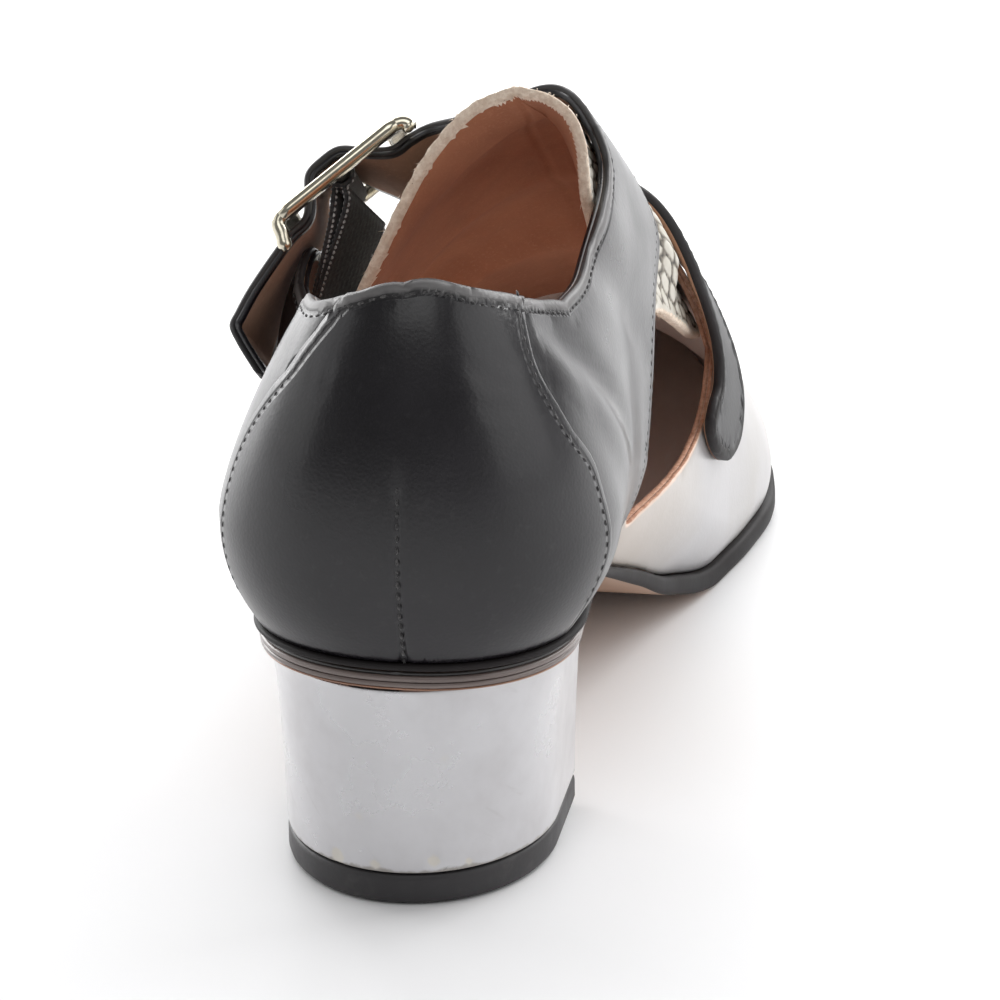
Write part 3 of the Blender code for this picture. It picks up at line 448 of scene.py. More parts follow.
def last_point(across, along):
    across, along = np.broadcast_arrays(np.asarray(across, float), np.asarray(along, float))
    in_heel, in_toe = along < HEEL_CORE, along > TOE_CORE
    core = np.clip(along, HEEL_CORE, TOE_CORE)
    out, side, end = map_turn(across, along)
    climb = 1 - out
    x, y = feather_point(across, along)
    ridge_x = section("ridge_x", core)
    seat = seat_height(y)
    bulge = np.where(across < 0, section("lateral_bulge", core), section("medial_bulge", core))
    bulge = np.where(in_heel, bulge * side ** 2 + HEEL_BACK_BULGE * end ** 2, bulge)
    rounding = np.where(across < 0, section("lateral_round", core), section("medial_round", core))
    rounding = np.where(in_heel, rounding * side ** 2 + HEEL_BACK_ROUND * end ** 2, rounding)
    low = section("bulge_height", core)
    swell = 1 + bulge / np.hypot(x - ridge_x, y - core)
    rise = climb / BULGE_AT
    turn = np.clip((climb - BULGE_AT) / (1 - BULGE_AT), 0, 1) * np.pi / 2
    below = climb < BULGE_AT
    reach = np.where(below, swell - (swell - 1) * (1 - rise) ** 2, swell * np.cos(turn) ** (2 / rounding))
    top = section("ridge", core) + np.where(in_toe, TOE_RIDGE_SLOPE * reach * (y - core), 0.0) - seat
    height = np.where(below, low * rise, low + (top - low) * np.sin(turn) ** (2 / rounding))
    return np.stack([ridge_x + reach * (x - ridge_x), core + reach * (y - core), seat + height], axis=-1)


def last_normal(across, along, step=0.1):
    over = last_point(across + step, along) - last_point(across - step, along)
    forward = last_point(across, along + step) - last_point(across, along - step)
    return unit(np.cross(over, forward))


def offset_point(across, along, lift):
    across, along = np.asarray(across, float), np.asarray(along, float)
    normal = last_normal(across, along)
    out, _, _ = map_turn(across, along)
    normal[..., 2] = np.where(out > 1 - 1e-6, 0.0, normal[..., 2])
    return last_point(across, along) + unit(normal) * np.asarray(lift, float)[..., None]


def on_last(line):
    return last_point(line[:, 0], line[:, 1])


def lifted(line, lift):
    return offset_point(line[:, 0], line[:, 1], lift)


def normal_on(line):
    return last_normal(line[:, 0], line[:, 1])


def feather_ring(step, quarter_steps=12):
    quarter = np.linspace(0, np.pi / 2, quarter_steps + 1)[:-1]
    count = int(round((TOE_CORE - HEEL_CORE) / step))
    straight = np.linspace(HEEL_CORE, TOE_CORE, count + 1)[:-1]
    heel = np.stack([MAP_HALF * np.sin(quarter), HEEL_CORE - MAP_HEEL * np.cos(quarter)], axis=1)
    side = np.stack([np.full(count, MAP_HALF), straight], axis=1)
    toe = np.stack([MAP_HALF * np.cos(quarter), TOE_CORE + MAP_TOE * np.sin(quarter)], axis=1)
    medial = np.vstack([heel, side, toe])
    tip = np.array([[0.0, TOE_CORE + MAP_TOE]])
    return np.vstack([medial, tip, (medial * (-1, 1))[:0:-1]])


def plan_outline(margin, step, quarter_steps=12):
    ring = feather_ring(step, quarter_steps)
    x, y = feather_point(ring[:, 0], ring[:, 1])
    points = np.stack([x, y], axis=1)
    tangent = np.roll(points, -1, axis=0) - np.roll(points, 1, axis=0)
    outward = np.stack([tangent[:, 1], -tangent[:, 0]], axis=1)
    return points + margin * outward / np.linalg.norm(outward, axis=1, keepdims=True)


# Meshes


def inside(points, loop):
    """Whether each point lies inside a closed loop, by counting crossings."""
    a, b = loop, np.roll(loop, -1, axis=0)
    rise = np.where(b[:, 1] == a[:, 1], 1e-12, b[:, 1] - a[:, 1])
    found = []
    for part in np.array_split(points, max(1, len(points) // 4000)):
        x, y = part[:, 0][:, None], part[:, 1][:, None]
        crosses = (a[:, 1] > y) != (b[:, 1] > y)
        at = a[:, 0] + (y - a[:, 1]) / rise * (b[:, 0] - a[:, 0])
        found.append((crosses & (x < at)).sum(axis=1) % 2 == 1)
    return np.concatenate(found)


def nearest(points, targets):
    """Index of, and distance to, the nearest target of each point."""
    points, targets = np.asarray(points, float), np.asarray(targets, float)
    if points.shape[1] == 2:
        points = np.column_stack([points, np.zeros(len(points))])
        targets = np.column_stack([targets, np.zeros(len(targets))])
    tree = KDTree(len(targets))
    for i, target in enumerate(targets):
        tree.insert(target, i)
    tree.balance()
    found = [tree.find(p)[1:] for p in points]
    return np.array([f[0] for f in found]), np.array([f[1] for f in found])


def grid_points(low, high, grid):
    rows = []
    for k, along in enumerate(np.arange(low[1] + grid[1] / 2, high[1], grid[1])):
        across = np.arange(low[0] + grid[0] * (0.25 + 0.5 * (k % 2)), high[0], grid[0])
        rows.append(np.stack([across, np.full(len(across), along)], axis=1))
    return np.vstack(rows)


def filled(outline, holes=(), guides=(), extra=None, grid=(1.2, 1.4)):
    """Triangles that fill an outline less its holes, over extra points and a grid, with guide lines kept as edges."""
    loops = [outline, *holes]
    points, edges = [], []
    for k, line in enumerate([*loops, *guides]):
        start = len(points)
        points.extend(line)
        count = len(line)
        edges.extend((start + i, start + i + 1) for i in range(count - 1))
        if k < len(loops):
            edges.append((start + count - 1, start))
    placed = np.array(points)

    def kept(candidates, fixed, reach, scale):
        keep = inside(candidates, outline)
        for hole in holes:
            keep &= ~inside(candidates, hole)
        candidates = candidates[keep]
        return candidates[nearest(candidates / scale, fixed / scale)[1] > reach]

    if extra is not None and len(extra):
        placed = np.vstack([placed, kept(extra, placed, 0.22, np.ones(2))])
    inner = grid_points(outline.min(axis=0), outline.max(axis=0), grid)
    everything = np.vstack([placed, kept(inner, placed, 0.55, np.array(grid))])
    found = delaunay_2d_cdt([tuple(p) for p in everything], edges, [], 0, 1e-7)
    flat = np.array([tuple(v) for v in found[0]])
    faces = np.array(found[2])
    centre = flat[faces].mean(axis=1)
    keep = inside(centre, outline)
    for hole in holes:
        keep &= ~inside(centre, hole)
    faces = faces[keep]
    first, second = flat[faces[:, 1]] - flat[faces[:, 0]], flat[faces[:, 2]] - flat[faces[:, 0]]
    turned = first[:, 0] * second[:, 1] - first[:, 1] * second[:, 0] < 0
    faces[turned] = faces[turned][:, ::-1]
    return trimmed(flat, faces)


def trimmed(flat, faces):
    used, faces = np.unique(faces, return_inverse=True)
    return flat[used], faces.reshape(-1, 3)


def boundary(faces):
    ends = np.concatenate([faces[:, [0, 1]], faces[:, [1, 2]], faces[:, [2, 0]]])
    directed = {tuple(e) for e in ends}
    return [(a, b) for a, b in directed if (b, a) not in directed]


def shifted(faces, start):
    return [tuple(start + i for i in face) for face in faces]


def tube_faces(rows, count):
    """Quads between neighbouring rings that have the same count of points."""
    faces = []
    for k in range(rows - 1):
        for i in range(count):
            j = (i + 1) % count
            faces.append((k * count + i, k * count + j, (k + 1) * count + j, (k + 1) * count + i))
    return faces


def thick(faces, levels, open_at=None):
    """Closed shell: the first and last levels are whole surfaces, and those between only shape the rim."""
    count = len(levels[0])
    top = len(levels) - 1
    solid = [tuple(f) for f in faces]
    group = [0] * len(solid)
    solid += [tuple(top * count + f[::-1]) for f in faces]
    group += [1] * len(faces)
    for a, b in boundary(faces):
        if open_at is not None and open_at[a] and open_at[b]:
            continue
        for k in range(top):
            solid.append((k * count + b, k * count + a, (k + 1) * count + a, (k + 1) * count + b))
            group.append(2)
    return np.vstack(levels), solid, np.array(group)


def add_mesh(name, points, faces, looks, group=None, values=None, replaces=(), sharp=None):
    """One piece in metres that rides on the shoe, with its points welded and its faces pointing out."""
    points = np.asarray(points, float)
    keys = np.round(points / 2e-3).astype(np.int64)
    _, first, index = np.unique(keys, axis=0, return_index=True, return_inverse=True)
    index = index.reshape(-1)
    clean, kept = [], []
    for k, face in enumerate(faces):
        ring = list(dict.fromkeys(int(index[i]) for i in face))
        if len(ring) > 2:
            clean.append(ring)
            kept.append(k)
    used = np.unique(np.concatenate([np.array(f) for f in clean]))
    renumber = np.full(len(first), -1)
    renumber[used] = np.arange(len(used))
    clean = [[int(renumber[i]) for i in f] for f in clean]
    placed = (points[first][used] - (*PLAN_CENTRE, 0.0)) * MM
    mesh = bpy.data.meshes.new(name)
    mesh.from_pydata(placed.tolist(), [], clean)
    for key, value in (values or {}).items():
        layer = mesh.attributes.new(key, "FLOAT", "POINT")
        layer.data.foreach_set("value", np.asarray(value, np.float32)[first][used])
    if group is not None:
        mesh.polygons.foreach_set("material_index", np.asarray(group, np.int32)[kept])
    work = bmesh.new()
    work.from_mesh(mesh)
    bmesh.ops.recalc_face_normals(work, faces=work.faces)
    work.to_mesh(mesh)
    work.free()
    mesh.shade_smooth()
    if sharp is not None:
        mesh.set_sharp_from_angle(angle=np.radians(sharp))
    for look in looks:
        mesh.materials.append(look)
    item = bpy.data.objects.new(name, mesh)
    bpy.context.collection.objects.link(item)
    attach(item, "root")
    if replaces:
        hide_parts(*replaces)
    return item


# Looks


def node(tree, kind, inputs=None, **settings):
    made = tree.nodes.new(kind)
    for key, value in settings.items():
        setattr(made, key, value)
    for key, value in (inputs or {}).items():
        if isinstance(value, bpy.types.NodeSocket):
            tree.links.new(value, made.inputs[key])
        else:
            made.inputs[key].default_value = value
    return made


class Look:
    """A material under construction: its shader, and short ways to add texture nodes."""

    def __init__(self, name, colour, roughness, **sockets):
        self.material = bpy.data.materials.new(name)
        self.material.use_nodes = True
        self.tree = self.material.node_tree
        self.shader = self.tree.nodes["Principled BSDF"]
        self.shader.inputs["Base Color"].default_value = (*colour, 1.0)
        self.shader.inputs["Roughness"].default_value = roughness
        for key, value in sockets.items():
            self.shader.inputs[key.replace("_", " ")].default_value = value
        self.coordinates = node(self.tree, "ShaderNodeTexCoord").outputs["Object"]
        self.bumps = None

    def noise(self, scale, detail=3.0, rough=0.55, stretch=None, turn=(0.0, 0.0, 0.0)):
        place = self.coordinates
        if stretch is not None:
            if any(turn):
                place = node(self.tree, "ShaderNodeMapping", {"Vector": place, "Rotation": turn}).outputs["Vector"]
            place = node(self.tree, "ShaderNodeMapping", {"Vector": place, "Scale": stretch}).outputs["Vector"]
        inputs = {"Vector": place, "Scale": scale, "Detail": detail, "Roughness": rough}
        return node(self.tree, "ShaderNodeTexNoise", inputs).outputs["Fac"]

    def cells(self, scale):
        inputs = {"Vector": self.coordinates, "Scale": scale}
        return node(self.tree, "ShaderNodeTexVoronoi", inputs).outputs["Distance"]

    def value(self, name):
        return node(self.tree, "ShaderNodeAttribute", attribute_name=name).outputs["Fac"]

    def step(self, source, low, high, to_low=0.0, to_high=1.0):
        inputs = {"Value": source, "From Min": low, "From Max": high, "To Min": to_low, "To Max": to_high}
        return node(self.tree, "ShaderNodeMapRange", inputs, interpolation_type="SMOOTHSTEP").outputs["Result"]

    def add(self, a, b):
        return node(self.tree, "ShaderNodeMath", {0: a, 1: b}, operation="ADD").outputs["Value"]

    def ragged(self, name, scale):
        """A distance kept on the mesh, made uneven by half a millimetre either way."""
        return self.add(self.value(name), self.step(self.noise(scale), 0.2, 0.8, -0.5, 0.5))

    def mix(self, factor, a, b):
        """Two colours, given or linked, mixed by a linked factor; the colour sockets of the node are 6 and 7."""
        made = node(self.tree, "ShaderNodeMix", {0: factor}, data_type="RGBA")
        for socket, value in ((made.inputs[6], a), (made.inputs[7], b)):
            if isinstance(value, bpy.types.NodeSocket):
                self.tree.links.new(value, socket)
            else:
                socket.default_value = (*value, 1.0)
        return made.outputs[2]

    def tint(self, base, colour, source, low, high, amount=1.0):
        """The base, turning into another colour as the source goes from low to high."""
        return self.mix(self.step(source, low, high, 0.0, amount), base, colour)

    def colour(self, socket):
        self.tree.links.new(socket, self.shader.inputs["Base Color"])

    def roughness(self, socket):
        self.tree.links.new(socket, self.shader.inputs["Roughness"])

    def bump(self, height, strength, distance):
        inputs = {"Height": height, "Strength": strength, "Distance": distance * MM}
        made = node(self.tree, "ShaderNodeBump", inputs)
        if self.bumps is not None:
            self.tree.links.new(self.bumps, made.inputs["Normal"])
        self.bumps = made.outputs["Normal"]
        self.tree.links.new(self.bumps, self.shader.inputs["Normal"])


def polished_leather(
    name, dark=(0.006, 0.005, 0.0068), worn=(0.13, 0.125, 0.125), rim=True, shine_level=0.5, rough=(0.27, 0.38)
):
    """Black box leather: fine grain, uneven polish, a scuffed grey rim and a pressed stitch line, with painted shade
    darkening its groove.
    """
    look = Look(name, dark, 0.26, Coat_Weight=0.1, Coat_Roughness=0.12, Specular_IOR_Level=shine_level)
    cloud = look.noise(38.0, 4.0)
    fine = look.noise(520.0, 3.0, 0.6)
    base = look.tint(dark, tuple(1.6 * c + 0.001 for c in dark), cloud, 0.35, 0.7)
    base = look.tint(base, (0.03, 0.028, 0.03), fine, 0.56, 0.75, 0.25)
    shine = look.step(cloud, 0.3, 0.75, *rough)
    if rim:
        ragged = look.ragged("worn", 260.0)
        base = look.tint(base, worn, ragged, 2.6, 1.4)
        base = look.tint(base, (0.03, 0.027, 0.028), look.value("rim"), 0.55, 0.15)
        shine = look.add(shine, look.step(ragged, 2.6, 1.4, 0.0, 0.15))
        groove_and_shade = look.value("stitch")
        # Painted shade: the pressed stitch groove is darkened in the colour, besides being pressed in by the bump
        base = look.tint(base, (0.012, 0.011, 0.012), groove_and_shade, 0.55, 0.2)
        look.bump(look.step(groove_and_shade, 0.2, 0.8), 0.5, 0.35)
    look.colour(base)
    look.roughness(shine)
    look.bump(look.cells(1500.0), 0.13, 0.12)
    look.bump(fine, 0.1, 0.12)
    look.bump(look.noise(120.0, 2.0), 0.06, 0.4)
    return look.material


def silver_leather(name):
    """Pale metallic leather of the vamp: satin, faint grain, and a painted warm reflection of the floor towards its
    lower rear.
    """
    look = Look(name, (0.64, 0.63, 0.64), 0.36, Metallic=0.25, Coat_Weight=0.2, Coat_Roughness=0.25)
    cloud = look.noise(22.0, 4.0)
    base = look.tint((0.43, 0.42, 0.43), (0.4, 0.38, 0.36), cloud, 0.35, 0.7)
    fine = look.noise(600.0, 3.0, 0.6)
    base = look.tint(base, (0.42, 0.405, 0.4), fine, 0.55, 0.8, 0.25)
    # Painted reflection: a warm floor reflection mixed into the colour low on the vamp's rear sides
    base = look.mix(look.value("painted_reflection"), base, (0.52, 0.445, 0.38))
    base = look.tint(base, (0.66, 0.5, 0.4), look.value("rim"), 0.9, 0.3)
    look.colour(base)
    look.roughness(look.step(cloud, 0.3, 0.7, 0.3, 0.42))
    look.bump(look.cells(1300.0), 0.16, 0.12)
    look.bump(fine, 0.1, 0.12)
    return look.material


def suede(name, colour, dark):
    """Napped lining leather with uneven tone."""
    look = Look(name, colour, 0.86, Sheen_Weight=0.06, Sheen_Roughness=0.5)
    cloud = look.noise(34.0, 5.0, 0.6)
    fine = look.noise(1200.0, 3.0, 0.7)
    base = look.tint(dark, colour, cloud, 0.3, 0.72)
    light = tuple(min(1.0, 1.35 * c) for c in colour)
    base = look.tint(base, light, fine, 0.5, 0.75, 0.45)
    look.colour(base)
    look.bump(fine, 0.2, 0.2)
    look.bump(look.noise(200.0, 3.0), 0.25, 0.3)
    return look.material


def raw_edge(name, colour, dark):
    """Cut leather edge: fibrous and uneven."""
    look = Look(name, colour, 0.9)
    fibre = look.noise(900.0, 4.0, 0.7)
    base = look.tint(dark, colour, fibre, 0.35, 0.68)
    base = look.tint(base, dark, look.noise(160.0), 0.45, 0.75, 0.5)
    look.colour(base)
    look.bump(fibre, 0.6, 0.4)
    return look.material


def snakeskin(name):
    """Cream scales with dark lines between them, from the relief's own depth."""
    look = Look(name, (0.62, 0.58, 0.5), 0.42, Coat_Weight=0.15, Coat_Roughness=0.25)
    depth = look.value("relief")
    tint = look.noise(120.0, 3.0)
    base = look.tint((0.66, 0.63, 0.56), (0.5, 0.46, 0.38), tint, 0.35, 0.7)
    base = look.tint(base, (0.22, 0.19, 0.15), depth, 0.42, 0.78)
    base = look.tint(base, (0.05, 0.042, 0.035), depth, 0.7, 0.94)
    look.colour(base)
    look.roughness(look.step(depth, 0.3, 0.9, 0.36, 0.7))
    look.bump(look.noise(900.0, 3.0, 0.6), 0.2, 0.15)
    return look.material


def plain_leather(name, light, dark, roughness=0.55, streak=None, shine_level=0.5):
    look = Look(name, light, roughness, Specular_IOR_Level=shine_level)
    cloud = look.noise(28.0, 5.0, 0.6)
    base = look.tint(dark, light, cloud, 0.3, 0.7)
    if streak is not None:
        lines = look.noise(26.0, 4.0, 0.6, stretch=(9.0, 1.0, 1.0))
        base = look.tint(base, streak, lines, 0.52, 0.72, 0.6)
    look.colour(base)
    fine = look.noise(700.0, 3.0, 0.65)
    look.bump(fine, 0.25, 0.15)
    look.roughness(look.step(cloud, 0.3, 0.7, roughness - 0.08, roughness + 0.1))
    return look.material


def stacked(name, light, dark):
    """Waxed stacked-leather edge: thin level layers."""
    look = Look(name, light, 0.34, Coat_Weight=0.3, Coat_Roughness=0.2)
    layers = look.noise(950.0, 2.0, 0.6, stretch=(0.02, 0.02, 1.0))
    cloud = look.noise(60.0, 4.0)
    base = look.tint(dark, light, layers, 0.35, 0.65)
    base = look.tint(base, dark, cloud, 0.45, 0.75, 0.5)
    look.colour(base)
    look.bump(layers, 0.3, 0.15)
    look.bump(look.noise(700.0), 0.12, 0.15)
    return look.material


def metallic_coat(name):
    """Silver coat of the heel block: satin, with scratches, faint smudges and rubbed edges."""
    look = Look(name, (0.62, 0.615, 0.63), 0.3, Metallic=0.8, Coat_Weight=0.25, Coat_Roughness=0.18)
    smudge = look.noise(45.0, 5.0, 0.62)
    base = look.tint((0.6, 0.595, 0.61), (0.53, 0.52, 0.53), smudge, 0.35, 0.72)
    scratch = look.noise(60.0, 4.0, 0.6, stretch=(6.0, 1.0, 0.22), turn=(0.0, 0.75, 0.0))
    base = look.tint(base, (0.42, 0.405, 0.4), scratch, 0.62, 0.7, 0.22)
    base = look.tint(base, (0.36, 0.34, 0.32), look.ragged("rim", 320.0), 0.9, 0.3)
    base = look.tint(base, (0.62, 0.59, 0.54), look.value("nick"), 0.1, 0.5)
    look.colour(base)
    look.roughness(look.step(smudge, 0.3, 0.75, 0.26, 0.4))
    look.bump(look.noise(900.0, 3.0), 0.05, 0.1)
    look.bump(look.step(scratch, 0.62, 0.7), 0.05, 0.1)
    return look.material


def rubber(name):
    look = Look(name, (0.028, 0.026, 0.028), 0.55)
    fine = look.noise(1100.0, 3.0, 0.65)
    dust = look.noise(70.0, 5.0, 0.65)
    base = look.tint((0.026, 0.024, 0.026), (0.07, 0.066, 0.066), dust, 0.5, 0.8)
    look.colour(base)
    look.roughness(look.step(dust, 0.3, 0.7, 0.48, 0.66))
    look.bump(fine, 0.3, 0.15)
    return look.material


def polished_metal(name, colour):
    look = Look(name, colour, 0.14, Metallic=1.0)
    wear = look.noise(260.0, 4.0, 0.6)
    base = look.tint(colour, tuple(0.72 * c for c in colour), wear, 0.4, 0.75)
    look.colour(base)
    look.roughness(look.step(wear, 0.3, 0.75, 0.1, 0.24))
    look.bump(look.noise(800.0), 0.03, 0.1)
    return look.material


def woven(name, light, dark):
    look = Look(name, dark, 0.8, Sheen_Weight=0.2)
    fine = look.noise(1500.0, 2.0)
    look.colour(look.tint(dark, light, fine, 0.4, 0.7))
    look.bump(fine, 0.4, 0.15)
    return look.material


def floor_look():
    look = Look("pale_floor", (0.93, 0.93, 0.935), 0.55)
    soft = look.noise(3.0, 2.0)
    look.colour(look.tint((0.93, 0.93, 0.935), (0.9, 0.9, 0.908), soft, 0.3, 0.7))
    look.bump(look.noise(60.0), 0.02, 0.3)
    return look.material


# Upper


def counter_side(points):
    edge = np.vstack([curve(COUNTER_LATERAL, 0.8)[::-1], curve(COUNTER_MEDIAL, 0.8)])
    back = np.array([(MAP_HALF * 1.2, -MAP_HEEL), (-MAP_HALF * 1.2, -MAP_HEEL)])
    return inside(points, np.vstack([edge, back]))


def vamp_side(points):
    edge = chain(
        curve(VAMP_SEAM_MEDIAL, 0.8)[::-1],
        curve(VAMP_EDGE_MEDIAL, 0.8),
        curve(THROAT, 0.8),
        curve(VAMP_EDGE_LATERAL, 0.8),
        curve(VAMP_SEAM_LATERAL, 0.8),
    )
    front = np.array([(-90.0, 61.0), (-90.0, 320.0), (90.0, 320.0), (90.0, 61.0)])
    return inside(points, np.vstack([edge, front]))


def wing_lift(points):
    """Flare of the lateral wing away from the last."""
    across, along = points.T
    share = np.hypot((across - WING_CENTRE[0]) / WING_REACH[0], (along - WING_CENTRE[1]) / WING_REACH[1])
    return np.where(across < 0, WING_FLARE * np.cos(np.clip(share, 0, 1) * np.pi / 2) ** 2, 0.0)


def crease_lift(place):
    """Troughs and ridges from the listed creases, each fading at both ends of its line."""
    total = np.zeros(len(place))
    for depth, width, line in CREASES:
        path = on_last(curve(line, 0.6))
        index, away = nearest(place, path)
        fade = np.sin(np.pi * (index + 0.5) / len(path)) ** 0.7
        total += depth * fade * np.exp(-(away / width) ** 2)
    return total


def inset(line, distance):
    """A map line moved to its left by a distance in millimetres on the last."""
    step = 0.2
    over = np.linalg.norm(last_point(line[:, 0] + step, line[:, 1]) - on_last(line), axis=1) / step
    forward = np.linalg.norm(last_point(line[:, 0], line[:, 1] + step) - on_last(line), axis=1) / step
    way = np.gradient(line, axis=0) * np.stack([over, forward], axis=1)
    way /= np.maximum(np.linalg.norm(way, axis=1, keepdims=True), 1e-9)
    left = np.stack([-way[:, 1] / over, way[:, 0] / forward], axis=1)
    return line + distance * left


def root_shares():
    """Even steps across the strap, with closer ones at both edges for its rounded edge."""
    middle = np.linspace(0, 1, STRAP_CELLS + 1)
    return np.sort(np.concatenate([middle, STRAP_EDGE_CELLS]))


def root_line():
    across, rear, front, _ = STRAP_ON_LAST[0]
    shares = root_shares()
    return np.stack([np.full(len(shares), across), rear + (front - rear) * shares], axis=1)


def edge_drop(away, radius=EDGE_RADIUS, depth=EDGE_DEPTH):
    """How far a rounded edge falls, from the distance to that edge."""
    share = np.clip(1 - away / radius, 0, 1)
    return depth * (1 - np.sqrt(1 - share ** 2))


def spread(points, reach):
    """Points thinned so that none lies within reach of an earlier one."""
    cells, kept = {}, []
    for k, (x, y) in enumerate(points):
        i, j = int(x // reach), int(y // reach)
        close = [q for a in (i - 1, i, i + 1) for b in (j - 1, j, j + 1) for q in cells.get((a, b), ())]
        if all((x - q[0]) ** 2 + (y - q[1]) ** 2 > reach ** 2 for q in close):
            cells.setdefault((i, j), []).append((x, y))
            kept.append(k)
    return points[kept]


def upper_pattern(step, grid, insets):
    """Flat triangles of the whole upper, with its seams kept as edges and rows of points beside every edge."""
    before = [curve(line, step) for line in (COLLAR_MEDIAL, STRAP_REAR_MEDIAL)]
    after = [curve(line, step) for line in (
        QUARTER_FRONT_MEDIAL, VAMP_EDGE_MEDIAL, THROAT, VAMP_EDGE_LATERAL, QUARTER_FRONT_LATERAL, WING_END,
        COLLAR_LATERAL,
    )]
    seams = [curve(line, step) for line in (COUNTER_MEDIAL, COUNTER_LATERAL, VAMP_SEAM_MEDIAL, VAMP_SEAM_LATERAL)]
    ring = feather_ring(step * 1.4, max(12, int(MAP_HALF / step)))
    edged = [(line, distance) for line in seams + before + after for distance in insets]
    edged += [(closed_ring(ring), distance) for distance in FEATHER_ROWS]
    extra = [inset(line, side * distance) for line, distance in edged for side in (1, -1)]
    extra.append(grid_points(FINE_FROM, FINE_TO, FINE_GRID))
    opening = chain(*before, root_line(), *after)
    guides = [line[1:] for line in seams]
    return filled(ring, [opening], guides, spread(np.vstack(extra), POINT_REACH), grid)


def dense(*lines):
    return np.vstack([on_last(curve(line, 0.25)) for line in lines])


def ribbon_rows(thickness, shares, edge_depth):
    """Outer and inner rows of the strap, with its edges rounded over."""
    rear = [offset_point(across, along, lift) for across, along, _, lift in STRAP_ON_LAST]
    front = [offset_point(across, along, lift) for across, _, along, lift in STRAP_ON_LAST]
    for run, height, lean, half in STRAP_AT_BUCKLE:
        side, drop = half * np.cos(np.radians(lean)), half * np.sin(np.radians(lean))
        rear.append(buckle_point(run, -side, height + drop))
        front.append(buckle_point(run, side, height - drop))
    rear, front = rail(rear, STRAP_STEPS), rail(front, STRAP_STEPS)
    surface = rear[:, None, :] + (front - rear)[:, None, :] * shares[None, :, None]
    way = np.gradient((rear + front) / 2, axis=0)
    normal = unit(np.cross(front - rear, way))
    width = np.linalg.norm(front - rear, axis=1)[:, None]
    run_left = np.cumsum(np.linalg.norm(np.diff((rear + front) / 2, axis=0), axis=1)[::-1])[::-1]
    run_left = np.concatenate([run_left, [0.0]])[:, None]
    away = np.minimum(np.minimum(shares[None, :], 1 - shares[None, :]) * width, run_left)
    root = root_line()
    fade = np.clip(1 - np.arange(len(surface)) / STRAP_STEPS, 0, 1)[:, None, None]
    surface = surface + fade * (on_last(root) - surface[0])
    normals = unit(normal[:, None, :] * (1 - fade) + fade * normal_on(root)[None, :, :])
    outer = surface - (edge_depth * edge_drop(away, depth=1.0))[..., None] * normals
    return outer, surface - thickness * normals, normals, away


def grid_shell(outer, inner, capped_start):
    """Closed strip from two grids of rows, open at its start unless it is capped."""
    rows, width = outer.shape[:2]
    count = rows * width
    index = np.arange(count).reshape(rows, width)
    a, b, c, d = index[:-1, :-1], index[:-1, 1:], index[1:, 1:], index[1:, :-1]
    quads = np.stack([a, b, c, d], axis=-1).reshape(-1, 4)
    faces = [tuple(q) for q in quads] + [tuple(count + q[::-1]) for q in quads]
    group = [0] * len(quads) + [1] * len(quads)
    for column in (0, width - 1):
        for i in range(rows - 1):
            p, q = index[i, column], index[i + 1, column]
            faces.append((p, q, count + q, count + p))
            group.append(2)
    for row in ((0, rows - 1) if capped_start else (rows - 1,)):
        for j in range(width - 1):
            p, q = index[row, j], index[row, j + 1]
            faces.append((p, q, count + q, count + p))
            group.append(2)
    return np.vstack([outer.reshape(-1, 3), inner.reshape(-1, 3)]), faces, np.array(group)


def on_root(flat):
    across, rear, front, _ = STRAP_ON_LAST[0]
    near = np.abs(flat[:, 0] - across) < 1e-4
    return near & (flat[:, 1] > rear - 1e-3) & (flat[:, 1] < front + 1e-3)


